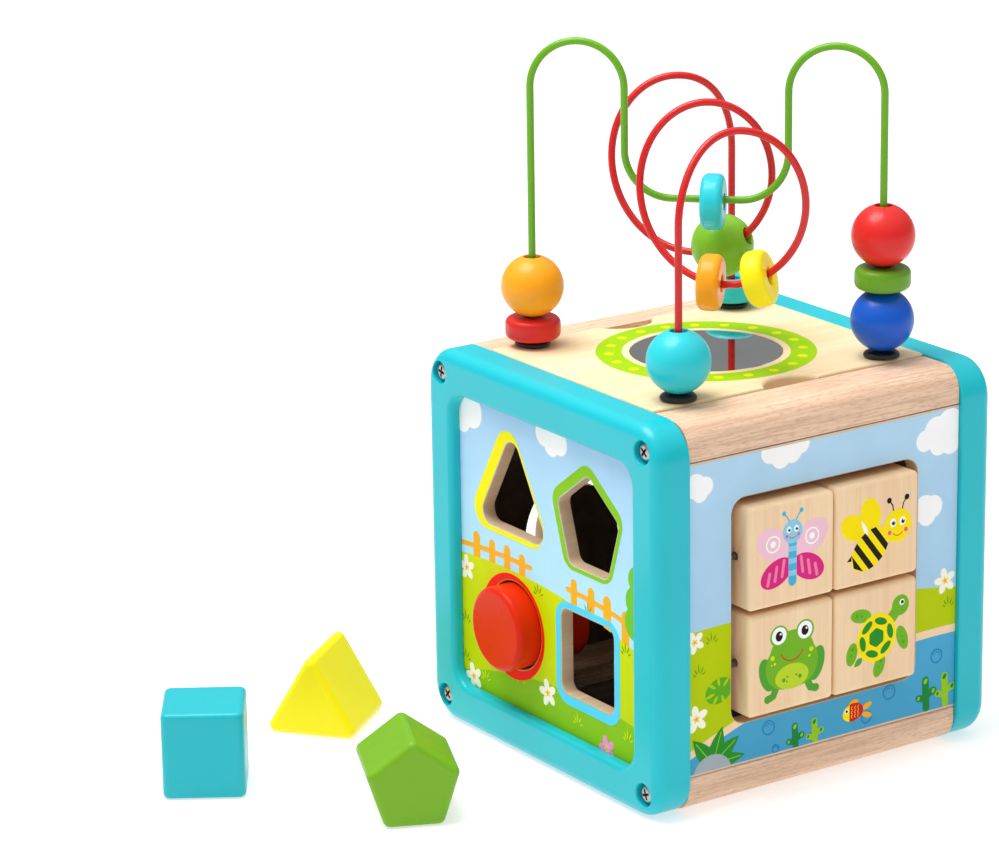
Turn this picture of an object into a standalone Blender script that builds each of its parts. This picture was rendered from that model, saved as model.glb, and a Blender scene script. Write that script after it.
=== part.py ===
"""Wooden activity cube: a shape sorter, a turning-block puzzle, a sliding track and a wire bead maze.

Metres, +Z up.  The origin is the centre of the cube's underside, at the level it stands on.
The sorter panel faces -Y, the turning blocks face +X and the sliding track faces -X.
"""
import math

import bmesh
import bpy
from mathutils import Vector

# Driving dimensions
CUBE = 0.200                # width and height of the two frames
FRAME_SPAN = 0.169          # distance between the frames' inner faces
FRAME_THICK = 0.020
GAP = 0.0003                # clearance kept between pieces that touch

# Frames
FRAME_CORNER = 0.019
FRAME_EDGE = 0.007          # rounding of the outer edge
WINDOW = 0.1566
WINDOW_CORNER = 0.012
WINDOW_EDGE = 0.003
PANEL_RECESS = 0.006        # how far the framed panels lie behind the frame's face
REBATE_LIP = 0.0037         # how far the window's lip overlaps the panel behind it

# Rails, one along each long edge of the cube
RAIL_OUTER = 0.0975         # distance of a rail's outer face from the middle plane
RAIL_INNER = 0.070
LEDGE_INNER = 0.062         # inner edge of the ledge that carries the lid
RAIL_TOP = 0.199
RAIL_BOTTOM = 0.1803
LEDGE_TOP = 0.1912
RAIL_ROUND = 0.012

# Panels
FRAMED_PANEL_THICK = 0.007
SIDE_PANEL_OUTER = 0.0973
SIDE_PANEL_THICK = 0.0088
SIDE_PANEL_Z = (0.0200, 0.1800)

# Sorter holes: centre x, z and size
TRIANGLE_AT = (-0.0315, 0.1324)
TRIANGLE_SIDE = 0.0626
PENTAGON_AT = (0.0342, 0.1340)
PENTAGON_RADIUS = 0.0273
CIRCLE_AT = (-0.0303, 0.0658)
CIRCLE_RADIUS = 0.0232
SQUARE_AT = (0.0328, 0.0648)
SQUARE_SIDE = 0.0446

# Turning blocks
PUZZLE_WINDOW = 0.116
PUZZLE_CENTRE_Z = 0.0995
PUZZLE_WINDOW_CORNER = 0.008
BLOCK_WIDTH = 0.0524
BLOCK_HEIGHT = 0.0526
BLOCK_THICK = 0.0234
BLOCK_PITCH_Y = 0.0532
BLOCK_PITCH_Z = 0.0550
BLOCK_EDGE = 0.0025
ROD_X = 0.0933
ROD_RADIUS = 0.0019
ROD_LENGTH = 0.131

# Sliding track in the -X panel
TRACK_ARCH_RADIUS = 0.0295
TRACK_ARCH_Y = -0.016
TRACK_TROUGH_RADIUS = 0.022
TRACK_TROUGH_Y = TRACK_ARCH_Y + TRACK_ARCH_RADIUS + TRACK_TROUGH_RADIUS
TRACK_CENTRE_Z = 0.086
TRACK_LEG = 0.022
TRACK_HALF_WIDTH = 0.006
KNOB_RADIUS = 0.011
KNOB_HEIGHT = 0.0075
STEM_RADIUS = 0.0054
RETAINER_RADIUS = 0.0085
RETAINER_THICK = 0.003
ARCH_KNOB_ANGLE = math.radians(25)
TROUGH_KNOB_ANGLE = math.radians(270)

# Lid and what stands on it
LID_HALF_X = 0.0695
LID_HALF_Y = 0.0840
LID_TOP = 0.2005
LID_THICK = 0.009
SCOOP_RADIUS = 0.019
SCOOP_DEPTH = 0.0115
MIRROR_RADIUS = 0.0386
MIRROR_THICK = 0.0016
FOOT_X = 0.0619
FOOT_Y = 0.0633
FOOT_RADIUS = 0.0095
FOOT_HEIGHT = 0.0032
POST_BASE = 0.2040          # level on which the lowest bead of each post rests
BATTEN_HALF_LENGTH = 0.058
BATTEN_Y = 0.072

# Screws
SCREW_INSET = 0.0127
SCREW_HEAD_RADIUS = 0.0046
SCREW_HEAD_THICK = 0.0026
SCREW_SHANK_RADIUS = 0.00175
SCREW_SHANK_END = 0.070     # distance of a screw's tip from the middle plane
COUNTERBORE_RADIUS = 0.006
COUNTERBORE_DEPTH = 0.0045

# Bead maze
WIRE_RADIUS = 0.0019
WIRE_END_Z = 0.1925
ARCH_RADIUS = 0.02375
ARCH_CENTRE_Z = 0.3342
DIP_RADIUS = 0.024
DIP_CENTRE_Z = 0.3030
LOOP_HALF_WIDTH = 0.0371
LOOP_HALF_HEIGHT = 0.0424
LOOP_CENTRE_Z = 0.2860
LOOP_PITCH = 0.062
LOOP_DRIFT = 0.403          # sideways drift of the loops per unit along the diagonal
BALL_RADIUS = 0.0162
BALL_BORE = 0.0043
DISC_RADIUS = 0.0142
DISC_THICK = 0.0114
DISC_EDGE = 0.0035
DISC_BORE = 0.0043
DISC_LEAN = math.radians(13)  # how far a disc on a loop leans over on the wire

# Blocks for the sorter
CYLINDER_RADIUS = 0.0220
CYLINDER_LENGTH = 0.045
CYLINDER_PROUD = 0.0125
LOOSE_EDGE = 0.0022

CORNER_STEPS = 5
ROUND_STEPS = 16

DIAGONAL = math.hypot(FOOT_X, FOOT_Y)
GREEN_DIRECTION = Vector((FOOT_X, FOOT_Y, 0)).normalized()
RED_DIRECTION = Vector((-FOOT_X, FOOT_Y, 0)).normalized()
RED_SIDE = Vector((RED_DIRECTION.y, -RED_DIRECTION.x, 0))


# ---------------------------------------------------------------- helpers

def clear_scene():
    for obj in list(bpy.data.objects):
        bpy.data.objects.remove(obj, do_unlink=True)


def material(name, colour, roughness=0.5, metallic=0.0):
    mat = bpy.data.materials.new(name)
    mat.use_nodes = True
    shader = mat.node_tree.nodes["Principled BSDF"]
    shader.inputs["Base Color"].default_value = (*colour, 1.0)
    shader.inputs["Roughness"].default_value = roughness
    shader.inputs["Metallic"].default_value = metallic
    mat.diffuse_color = (*colour, 1.0)
    return mat


def link(name, data, mat=None):
    obj = bpy.data.objects.new(name, data)
    bpy.context.scene.collection.objects.link(obj)
    if mat is not None:
        data.materials.append(mat)
    return obj


def mesh_object(name, bm, mat=None, smooth=False):
    """Turns a bmesh into an object whose faces point outwards."""
    bmesh.ops.recalc_face_normals(bm, faces=bm.faces)
    mesh = bpy.data.meshes.new(name)
    bm.to_mesh(mesh)
    bm.free()
    if smooth:
        mesh.shade_smooth()
        mesh.set_sharp_from_angle(angle=math.radians(35))
    return link(name, mesh, mat)


def empty(name, location, parent=None):
    obj = link(name, None)
    obj.location = location
    obj.parent = parent
    return obj


def arc(centre, radius, start, end, steps):
    """Points on an arc from start to end, in degrees."""
    points = []
    for i in range(steps + 1):
        a = math.radians(start + (end - start) * i / steps)
        points.append((centre[0] + radius * math.cos(a), centre[1] + radius * math.sin(a)))
    return points


def rounded_square(half, radius, steps=CORNER_STEPS):
    """Outline of a square with round corners, counter-clockwise."""
    c = half - radius
    points = []
    for start, (sx, sy) in zip((0, 90, 180, 270), ((1, 1), (-1, 1), (-1, -1), (1, -1))):
        points += arc((sx * c, sy * c), radius, start, start + 90, steps)
    return points


def rounded_regular(count, radius, corner, top=90.0, steps=4):
    """Outline of a regular polygon with one corner at angle top and its corners rounded."""
    half_turn = 180.0 / count
    inner = radius - corner / math.cos(math.radians(half_turn))
    points = []
    for k in range(count):
        a = top + 2 * half_turn * k
        centre = (inner * math.cos(math.radians(a)), inner * math.sin(math.radians(a)))
        points += arc(centre, corner, a - half_turn, a + half_turn, steps)
    return points


def moved(outline, at):
    return [(u + at[0], v + at[1]) for u, v in outline]


def add_prism(bm, outline, axis, start, end):
    """Adds an outline extruded along an axis; the outline's u, v are the other two axes in order."""
    def place(u, v, w):
        point = [u, v]
        point.insert("XYZ".index(axis), w)
        return point
    low = [bm.verts.new(place(u, v, start)) for u, v in outline]
    high = [bm.verts.new(place(u, v, end)) for u, v in outline]
    count = len(outline)
    for i in range(count):
        j = (i + 1) % count
        bm.faces.new((low[i], low[j], high[j], high[i]))
    bm.faces.new(low)
    bm.faces.new(high)


def prism(name, outline, axis, start, end, mat=None, smooth=False):
    bm = bmesh.new()
    add_prism(bm, outline, axis, start, end)
    return mesh_object(name, bm, mat, smooth)


def box(name, low, high, mat=None):
    corners = [(low[0], low[1]), (high[0], low[1]), (high[0], high[1]), (low[0], high[1])]
    return prism(name, corners, "Z", low[2], high[2], mat)


def add_rings(bm, loops, closed):
    """Bridges loops of equal length; closed joins the last loop to the first."""
    rings = [[bm.verts.new(p) for p in loop] for loop in loops]
    pairs = list(zip(rings, rings[1:] + rings[:1]))
    if not closed:
        pairs.pop()
        bm.faces.new(rings[0])
        bm.faces.new(rings[-1])
    for a, b in pairs:
        count = len(a)
        for i in range(count):
            j = (i + 1) % count
            bm.faces.new((a[i], a[j], b[j], b[i]))


def turned(name, profile, mat, closed=False, steps=ROUND_STEPS):
    """A piece turned about local Z from (radius, z) points; closed is a ring round a bore."""
    bm = bmesh.new()
    loops = []
    for radius, z in profile:
        loops.append([(x, y, z) for x, y in arc((0, 0), radius, 0, 360, steps)[:-1]])
    add_rings(bm, loops, closed)
    return mesh_object(name, bm, mat, smooth=True)


def round_edges(obj, width, segments=2):
    mod = obj.modifiers.new("edge", "BEVEL")
    mod.width = width
    mod.segments = segments
    mod.limit_method = "ANGLE"
    mod.angle_limit = math.radians(40)


def cut(obj, cutter):
    mod = obj.modifiers.new("cut", "BOOLEAN")
    mod.operation = "DIFFERENCE"
    mod.solver = "EXACT"
    mod.object = cutter


def as_cutter(obj):
    obj.hide_render = True
    obj.display_type = "WIRE"
    return obj


def cylinders(name, places, axis, radius, start, end, steps=16):
    """Cutter made of equal cylinders along an axis."""
    bm = bmesh.new()
    for at in places:
        add_prism(bm, moved(arc((0, 0), radius, 0, 360, steps)[:-1], at), axis, start, end)
    return as_cutter(mesh_object(name, bm))


def baked(obj):
    """The object's mesh with its modifiers applied; the object itself is removed."""
    depsgraph = bpy.context.evaluated_depsgraph_get()
    mesh = bpy.data.meshes.new_from_object(obj.evaluated_get(depsgraph))
    bpy.data.objects.remove(obj, do_unlink=True)
    return mesh


# ---------------------------------------------------------------- frames, rails and screws

def frame_profile():
    """Half size, corner radius and depth behind the face, once round the frame's section."""
    half = CUBE / 2
    window = WINDOW / 2
    section = []
    for inset, depth in arc((FRAME_EDGE, FRAME_EDGE), FRAME_EDGE, 270, 180, 3):
        section.append((half - inset, FRAME_CORNER - inset, depth))
    section.append((half, FRAME_CORNER, FRAME_THICK - 0.001))
    section.append((half - 0.001, FRAME_CORNER - 0.001, FRAME_THICK))
    rebate = window + REBATE_LIP
    section.append((rebate, WINDOW_CORNER + REBATE_LIP, FRAME_THICK))
    section.append((rebate, WINDOW_CORNER + REBATE_LIP, PANEL_RECESS))
    section.append((window, WINDOW_CORNER, PANEL_RECESS))
    for outset, depth in arc((WINDOW_EDGE, WINDOW_EDGE), WINDOW_EDGE, 180, 270, 3):
        section.append((window + outset, WINDOW_CORNER + outset, depth))
    return section


def screw_places():
    offset = CUBE / 2 - SCREW_INSET
    return [(sx * offset, CUBE / 2 + sz * offset) for sx in (-1, 1) for sz in (-1, 1)]


def make_frame(name, side, mat, bores):
    """One of the two lacquered frames; side is -1 at the front and 1 at the back."""
    face = side * (FRAME_SPAN / 2 + FRAME_THICK)
    bm = bmesh.new()
    loops = []
    for half, corner, depth in frame_profile():
        y = face - side * depth
        loops.append([(u, y, v + CUBE / 2) for u, v in rounded_square(half, corner)])
    add_rings(bm, loops, closed=True)
    frame = mesh_object(name, bm, mat, smooth=True)
    seat = face - side * COUNTERBORE_DEPTH
    counterbore = cylinders(name + "_counterbore", screw_places(), "Y", COUNTERBORE_RADIUS,
                            seat, face + side * 0.01)
    cut(frame, counterbore)
    cut(frame, bores)
    return frame


def rail_outline():
    """Section of the upper +X rail in x, z, with the ledge for the lid on its inner side."""
    points = [(LEDGE_INNER, RAIL_BOTTOM), (RAIL_OUTER, RAIL_BOTTOM)]
    points += arc((RAIL_OUTER - RAIL_ROUND, RAIL_TOP - RAIL_ROUND), RAIL_ROUND, 0, 90, 6)
    points += [(RAIL_INNER, RAIL_TOP), (RAIL_INNER, LEDGE_TOP), (LEDGE_INNER, LEDGE_TOP)]
    return points


def make_rails(mat, bores):
    end = FRAME_SPAN / 2 - GAP
    for x_name, sx in (("right", 1), ("left", -1)):
        for z_name, flip in (("upper", False), ("lower", True)):
            outline = [(sx * x, CUBE - z if flip else z) for x, z in rail_outline()]
            rail = prism(f"{z_name}_{x_name}_rail", outline, "Y", -end, end, mat, smooth=True)
            cut(rail, bores)


def screw_mesh(mat):
    """A pan-head wood screw along +Z with its seat at z = 0 and a cross recess in its head."""
    shank = FRAME_SPAN / 2 + FRAME_THICK - COUNTERBORE_DEPTH + GAP - SCREW_SHANK_END
    top = SCREW_HEAD_THICK
    profile = [(0.0004, -shank), (SCREW_SHANK_RADIUS, -shank + 0.004), (SCREW_SHANK_RADIUS, 0.0)]
    profile += [(SCREW_HEAD_RADIUS, 0.0), (SCREW_HEAD_RADIUS, 0.5 * top)]
    profile.append((0.7 * SCREW_HEAD_RADIUS, top))
    screw = turned("screw", profile, mat, steps=12)
    arm = 0.0028
    half = 0.0006
    cross = []
    for cx, cy in ((1, 1), (-1, 1), (-1, -1), (1, -1)):
        long_x, long_y = (cx * arm, cy * half), (cx * half, cy * arm)
        inner = (cx * half, cy * half)
        cross += [long_x, inner, long_y] if cx * cy > 0 else [long_y, inner, long_x]
    cutter = as_cutter(prism("screw_recess", cross, "Z", 0.35 * top, 2 * top))
    cut(screw, cutter)
    mesh = baked(screw)
    bpy.data.objects.remove(cutter, do_unlink=True)
    return mesh


def make_screws(mat):
    mesh = screw_mesh(mat)
    for frame_name, side in (("front", -1), ("back", 1)):
        seat = side * (FRAME_SPAN / 2 + FRAME_THICK - COUNTERBORE_DEPTH + GAP)
        for number, (x, z) in enumerate(screw_places(), 1):
            screw = link(f"{frame_name}_screw_{number}", mesh)
            screw.location = (x, seat, z)
            screw.rotation_euler = (-side * math.pi / 2, 0, 0)


# ---------------------------------------------------------------- panels

def framed_panel(name, side, mat):
    """A thin panel that sits in the rebate behind a frame's window."""
    half = WINDOW / 2 + REBATE_LIP - GAP
    corner = WINDOW_CORNER + REBATE_LIP - GAP
    outer = side * (FRAME_SPAN / 2 + FRAME_THICK - PANEL_RECESS - GAP)
    outline = moved(rounded_square(half, corner), (0, CUBE / 2))
    return prism(name, outline, "Y", outer, outer - side * FRAMED_PANEL_THICK, mat)


def sorter_cutter():
    """The four sorter holes as one cutter."""
    triangle = rounded_regular(3, TRIANGLE_SIDE / math.sqrt(3), 0.0065)
    pentagon = rounded_regular(5, PENTAGON_RADIUS, 0.005)
    square = rounded_square(SQUARE_SIDE / 2, 0.005, steps=4)
    circle = arc((0, 0), CIRCLE_RADIUS, 0, 360, 36)[:-1]
    places = ((triangle, TRIANGLE_AT), (pentagon, PENTAGON_AT), (square, SQUARE_AT), (circle, CIRCLE_AT))
    bm = bmesh.new()
    for outline, at in places:
        add_prism(bm, moved(outline, at), "Y", -0.110, -0.085)
    return as_cutter(mesh_object("sorter_holes", bm))


def side_panel(name, side, mat):
    end = FRAME_SPAN / 2 - GAP
    xs = sorted((side * SIDE_PANEL_OUTER, side * (SIDE_PANEL_OUTER - SIDE_PANEL_THICK)))
    return box(name, (xs[0], -end, SIDE_PANEL_Z[0]), (xs[1], end, SIDE_PANEL_Z[1]), mat)


def track_outline():
    """Outline of the slot: a leg, an arch, a trough and a leg, in y, z."""
    z = TRACK_CENTRE_Z
    arch, trough = (TRACK_ARCH_Y, z), (TRACK_TROUGH_Y, z)
    half = TRACK_HALF_WIDTH
    outline = arc(arch, TRACK_ARCH_RADIUS + half, 180, 0, 18)
    outline += arc(trough, TRACK_TROUGH_RADIUS - half, 180, 360, 14)
    outline += arc((TRACK_TROUGH_Y + TRACK_TROUGH_RADIUS, z + TRACK_LEG), half, 180, 0, 8)
    outline += arc(trough, TRACK_TROUGH_RADIUS + half, 360, 180, 18)
    outline += arc(arch, TRACK_ARCH_RADIUS - half, 0, 180, 14)
    outline += arc((TRACK_ARCH_Y - TRACK_ARCH_RADIUS, z - TRACK_LEG), half, 360, 180, 8)
    return outline


def make_panels(wood, print_mat):
    sorter = framed_panel("sorter_panel", -1, print_mat)
    cut(sorter, sorter_cutter())
    framed_panel("back_panel", 1, print_mat)

    puzzle = side_panel("puzzle_panel", 1, print_mat)
    window = moved(rounded_square(PUZZLE_WINDOW / 2, PUZZLE_WINDOW_CORNER), (0, PUZZLE_CENTRE_Z))
    cut(puzzle, as_cutter(prism("puzzle_window", window, "X", 0.080, 0.105)))
    bore = ROD_LENGTH / 2 + GAP
    rods = [(ROD_X, z) for z in rod_heights()]
    cut(puzzle, cylinders("rod_bores", rods, "Y", ROD_RADIUS + GAP, -bore, bore, steps=12))

    track = side_panel("track_panel", -1, print_mat)
    cut(track, as_cutter(prism("track_slot", track_outline(), "X", -0.105, -0.080)))

    end = FRAME_SPAN / 2 - GAP
    inner = RAIL_INNER - GAP
    box("base_panel", (-inner, -end, 0.0), (inner, end, CUBE - LEDGE_TOP - GAP), wood)


# ---------------------------------------------------------------- turning blocks and sliders

def rod_heights():
    return [PUZZLE_CENTRE_Z - BLOCK_PITCH_Z / 2, PUZZLE_CENTRE_Z + BLOCK_PITCH_Z / 2]


def make_puzzle(wood, steel):
    half = (BLOCK_THICK / 2, BLOCK_WIDTH / 2, BLOCK_HEIGHT / 2)
    for row, z in zip(("lower", "upper"), rod_heights()):
        outline = arc((0, 0), ROD_RADIUS, 0, 360, 12)[:-1]
        rod = prism(f"{row}_rod", outline, "Y", -ROD_LENGTH / 2, ROD_LENGTH / 2, steel, smooth=True)
        rod.location = (ROD_X, 0, z)
        for column, sy in (("left", -1), ("right", 1)):
            name = f"{row}_{column}_block"
            block = box(name, [-h for h in half], half, wood)
            round_edges(block, BLOCK_EDGE, 3)
            block.location = (ROD_X, sy * BLOCK_PITCH_Y / 2, z)
            bore = cylinders(name + "_bore", [(0, 0)], "Y", ROD_RADIUS + GAP, -0.04, 0.04, steps=12)
            bore.location = block.location
            cut(block, bore)


def make_slider(name, centre_y, radius, angle, colour, plain):
    """A knob and its retainer on the curved part of the track, turning about the curve's centre."""
    pivot = empty(name + "_pivot", (-SIDE_PANEL_OUTER, centre_y, TRACK_CENTRE_Z))
    pivot.rotation_euler = (angle, 0, 0)
    inner_end = SIDE_PANEL_THICK + 0.0004
    top = KNOB_HEIGHT + 2 * GAP
    profile = [(STEM_RADIUS, -inner_end), (STEM_RADIUS, 2 * GAP), (KNOB_RADIUS, 2 * GAP)]
    profile += [(KNOB_RADIUS, 0.35 * top), (0.94 * KNOB_RADIUS, 0.62 * top)]
    profile += [(0.78 * KNOB_RADIUS, 0.83 * top), (0.52 * KNOB_RADIUS, 0.96 * top), (0.2 * KNOB_RADIUS, top)]
    knob = turned(name + "_knob", profile, colour)
    low = -inner_end - GAP
    ring = [(RETAINER_RADIUS, low), (RETAINER_RADIUS, low - 0.0022)]
    ring.append((RETAINER_RADIUS - 0.0008, low - RETAINER_THICK))
    retainer = turned(name + "_retainer", ring, plain)
    for piece in (knob, retainer):
        piece.parent = pivot
        piece.location = (0, radius, 0)
        piece.rotation_euler = (0, -math.pi / 2, 0)


# ---------------------------------------------------------------- lid

def foot_places():
    return [(sx * FOOT_X, sy * FOOT_Y) for sx in (-1, 1) for sy in (-1, 1)]


def make_lid(wood, mirror, black):
    bottom = LID_TOP - LID_THICK
    lid = box("lid", (-LID_HALF_X, -LID_HALF_Y, bottom), (LID_HALF_X, LID_HALF_Y, LID_TOP), wood)
    round_edges(lid, 0.0012, 2)
    scoop_x = LID_HALF_X + SCOOP_RADIUS - SCOOP_DEPTH
    scoops = cylinders("lid_scoops", [(scoop_x, 0), (-scoop_x, 0)], "Z", SCOOP_RADIUS, 0.18, 0.21, 48)
    cut(lid, scoops)
    bore = WIRE_RADIUS + GAP
    cut(lid, cylinders("wire_bores", foot_places(), "Z", bore, 0.18, 0.21, 12))
    pocket = LID_TOP - MIRROR_THICK - GAP
    cut(lid, cylinders("mirror_pocket", [(0, 0)], "Z", MIRROR_RADIUS + GAP, pocket, 0.21, 48))

    disc = arc((0, 0), MIRROR_RADIUS, 0, 360, 48)[:-1]
    prism("mirror", disc, "Z", LID_TOP - MIRROR_THICK, LID_TOP, mirror)

    for name, sy in (("front", -1), ("back", 1)):
        ys = sorted((sy * BATTEN_Y, sy * (BATTEN_Y - 0.012)))
        top = bottom - GAP
        batten = box(f"{name}_lid_batten", (-BATTEN_HALF_LENGTH, ys[0], top - 0.008),
                     (BATTEN_HALF_LENGTH, ys[1], top), wood)
        round_edges(batten, 0.001, 1)

    names = ("front_left", "back_left", "front_right", "back_right")
    low = LID_TOP + GAP
    for name, (x, y) in zip(names, foot_places()):
        profile = [(bore, low), (FOOT_RADIUS, low), (FOOT_RADIUS, low + 0.0012)]
        profile += [(0.75 * FOOT_RADIUS, low + 0.8 * FOOT_HEIGHT), (0.6 * FOOT_RADIUS, low + FOOT_HEIGHT)]
        profile.append((bore, low + FOOT_HEIGHT))
        foot = turned(f"{name}_wire_foot", profile, black, closed=True)
        foot.location = (x, y, 0)


# ---------------------------------------------------------------- bead maze

def wire(name, points, mat):
    """A round wire through the given points."""
    curve = bpy.data.curves.new(name, "CURVE")
    curve.dimensions = "3D"
    curve.bevel_depth = WIRE_RADIUS
    curve.bevel_resolution = 2
    curve.use_fill_caps = True
    spline = curve.splines.new("POLY")
    spline.points.add(len(points) - 1)
    for target, point in zip(spline.points, points):
        target.co = (*point, 1.0)
    return link(name, curve, mat)


def green_route():
    """Two arches over the side posts and a dip between them, in the plane of one diagonal."""
    outer = DIAGONAL
    inner = outer - 2 * ARCH_RADIUS
    flat = inner - DIP_RADIUS
    route = [(-outer, WIRE_END_Z)]
    route += arc((-outer + ARCH_RADIUS, ARCH_CENTRE_Z), ARCH_RADIUS, 180, 0, 14)
    route += arc((-flat, DIP_CENTRE_Z), DIP_RADIUS, 180, 270, 8)
    route += arc((flat, DIP_CENTRE_Z), DIP_RADIUS, 270, 360, 8)
    route += arc((outer - ARCH_RADIUS, ARCH_CENTRE_Z), ARCH_RADIUS, 180, 0, 14)
    route.append((outer, WIRE_END_Z))
    return [GREEN_DIRECTION * s + Vector((0, 0, z)) for s, z in route]


def red_point(phase):
    """A point on the looping wire; phase runs from -90 to 810 degrees, 0 at the first crest."""
    along = LOOP_PITCH * (phase - 360) / 360
    side = LOOP_HALF_WIDTH * math.sin(math.radians(phase)) - LOOP_DRIFT * along
    z = LOOP_CENTRE_Z + LOOP_HALF_HEIGHT * math.cos(math.radians(phase))
    return along, side, z


def red_rise(u):
    """The first quarter turn, from the vertical post at u = 0 to the first crest at u = 1."""
    along, side, _ = red_point(0)
    quarter = LOOP_PITCH / 4
    side_slope = LOOP_HALF_WIDTH * math.pi / 2 - LOOP_DRIFT * quarter
    step = 3 * u ** 2 - 2 * u ** 3
    tangent = u ** 3 - u ** 2
    z = LOOP_CENTRE_Z + LOOP_HALF_HEIGHT * math.sin(u * math.pi / 2)
    return -DIAGONAL + (along + DIAGONAL) * step + quarter * tangent, side * step + side_slope * tangent, z


def red_route():
    """Post, rising quarter, two full loops, and the same quarter and post turned half round."""
    quarter = [red_rise(i / 7) for i in range(7)]
    loops = [red_point(720 * i / 52) for i in range(53)]
    route = [(-DIAGONAL, 0.0, WIRE_END_Z)] + quarter + loops
    route += [(-a, -s, z) for a, s, z in reversed(quarter)]
    route.append((DIAGONAL, 0.0, WIRE_END_Z))
    return [RED_DIRECTION * a + RED_SIDE * s + Vector((0, 0, z)) for a, s, z in route]


def red_place(phase):
    """Position, direction, and centre and axis of the wire's own circle at a phase."""
    def at(p):
        a, s, z = red_point(p)
        return RED_DIRECTION * a + RED_SIDE * s + Vector((0, 0, z))
    h = 1.0
    here = at(phase)
    first = (at(phase + h) - at(phase - h)) / (2 * h)
    second = (at(phase + h) - 2 * here + at(phase - h)) / (h * h)
    speed = first.length
    tangent = first / speed
    across = second - tangent * second.dot(tangent)
    normal = across.normalized()
    radius = speed * speed / across.length
    return here, tangent, here + normal * radius, tangent.cross(normal), normal


def ball_profile():
    start = math.degrees(math.asin(BALL_BORE / BALL_RADIUS))
    return arc((0, 0), BALL_RADIUS, 90 - start, start - 90, 9)


def disc_profile():
    """Bead disc section from the bore outwards and back."""
    half = DISC_THICK / 2
    edge = DISC_EDGE
    points = [(DISC_BORE, half)]
    points += arc((DISC_RADIUS - edge, half - edge), edge, 90, 0, 2)
    points += arc((DISC_RADIUS - edge, edge - half), edge, 0, -90, 2)
    points.append((DISC_BORE, -half))
    return points


def bead(name, kind, mat, centre, direction, parent=None):
    profile = ball_profile() if kind == "ball" else disc_profile()
    piece = turned(name, profile, mat, closed=True)
    piece.location = centre
    piece.rotation_mode = "QUATERNION"
    piece.rotation_quaternion = Vector((0, 0, 1)).rotation_difference(direction)
    if parent is not None:
        piece.location = Vector(centre) - parent.location
        piece.parent = parent
    return piece


def post_beads(foot, beads):
    """A stack of beads on the straight part of a wire, from the foot upwards."""
    z = POST_BASE + GAP
    for name, kind, mat in beads:
        height = 2 * math.sqrt(BALL_RADIUS ** 2 - BALL_BORE ** 2) if kind == "ball" else DISC_THICK
        bead(name, kind, mat, (foot[0], foot[1], z + height / 2), Vector((0, 0, 1)))
        z += height + GAP


def loop_bead(name, kind, mat, phase, sag, lean=0.0):
    """A bead on the looping wire, hanging by sag, its axis leaning to the lid's diagonal."""
    here, tangent, centre, _, normal = red_place(phase)
    pivot = empty(name + "_pivot", centre)
    share = lean / tangent.angle(-GREEN_DIRECTION)
    axis = tangent.slerp(-GREEN_DIRECTION, share)
    bead(name, kind, mat, here - normal * sag, axis, pivot)


def make_maze(mats):
    wire("green_wire", green_route(), mats["green_wire"])
    wire("red_wire", red_route(), mats["red_wire"])
    post_beads((-FOOT_X, -FOOT_Y), (("red_disc", "disc", mats["red"]), ("orange_ball", "ball", mats["orange"])))
    post_beads((FOOT_X, FOOT_Y), (("blue_ball", "ball", mats["blue"]), ("green_disc", "disc", mats["green"]),
                                  ("red_ball", "ball", mats["red"])))
    post_beads((FOOT_X, -FOOT_Y), (("cyan_ball", "ball", mats["cyan"]),))
    post_beads((-FOOT_X, FOOT_Y), (("back_cyan_disc", "disc", mats["cyan"]),))
    dip = GREEN_DIRECTION * 0.0035 + Vector((0, 0, DIP_CENTRE_Z - DIP_RADIUS - 0.0012))
    bead("dip_cyan_disc", "disc", mats["cyan"], dip, GREEN_DIRECTION)
    loop_bead("orange_disc", "disc", mats["orange"], 188, 0.0, DISC_LEAN)
    loop_bead("yellow_disc", "disc", mats["yellow"], 152, 0.0, DISC_LEAN)
    loop_bead("green_ball", "ball", mats["green"], 515, -0.0014)


# ---------------------------------------------------------------- sorter blocks

def make_cylinder(mat):
    edge = 0.003
    end = CYLINDER_LENGTH / 2
    profile = [(0.3 * CYLINDER_RADIUS, -end)]
    profile += arc((CYLINDER_RADIUS - edge, edge - end), edge, 270, 360, 3)
    profile += arc((CYLINDER_RADIUS - edge, end - edge), edge, 0, 90, 3)
    profile.append((0.3 * CYLINDER_RADIUS, end))
    block = turned("red_cylinder", profile, mat, steps=24)
    face = -(FRAME_SPAN / 2 + FRAME_THICK - PANEL_RECESS)
    block.location = (CIRCLE_AT[0], face - CYLINDER_PROUD + end, CIRCLE_AT[1])
    block.rotation_euler = (math.pi / 2, 0, 0)


def loose_block(name, outline, length, lift, place, turn, mat):
    """A prism lying on the ground with its axis level."""
    block = prism(name, outline, "Y", -length / 2, length / 2, mat)
    round_edges(block, LOOSE_EDGE, 3)
    block.location = (*place, lift)
    block.rotation_euler = (0, 0, math.radians(turn))


def make_loose_blocks(mats):
    width, depth, height = 0.0415, 0.0411, 0.0448
    cube = box("cyan_square_block", (-width / 2, -depth / 2, 0), (width / 2, depth / 2, height), mats["cyan"])
    round_edges(cube, LOOSE_EDGE, 3)
    cube.location = (-0.0802, -0.2528, 0)
    cube.rotation_euler = (0, 0, math.radians(57))
    triangle = [(0.0301 * math.cos(math.radians(a)), 0.0301 * math.sin(math.radians(a))) for a in (90, 210, 330)]
    loose_block("yellow_triangle_block", triangle, 0.050, 0.0301 / 2, (-0.1206, -0.1569), 38.5, mats["yellow"])
    radius = 0.0247
    pentagon = [(radius * math.cos(math.radians(a)), radius * math.sin(math.radians(a)))
                for a in (90, 162, 234, 306, 378)]
    lift = radius * math.cos(math.pi / 5)
    loose_block("green_pentagon_block", pentagon, 0.046, lift, (0.0088, -0.1899), 65.3, mats["green"])


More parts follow.
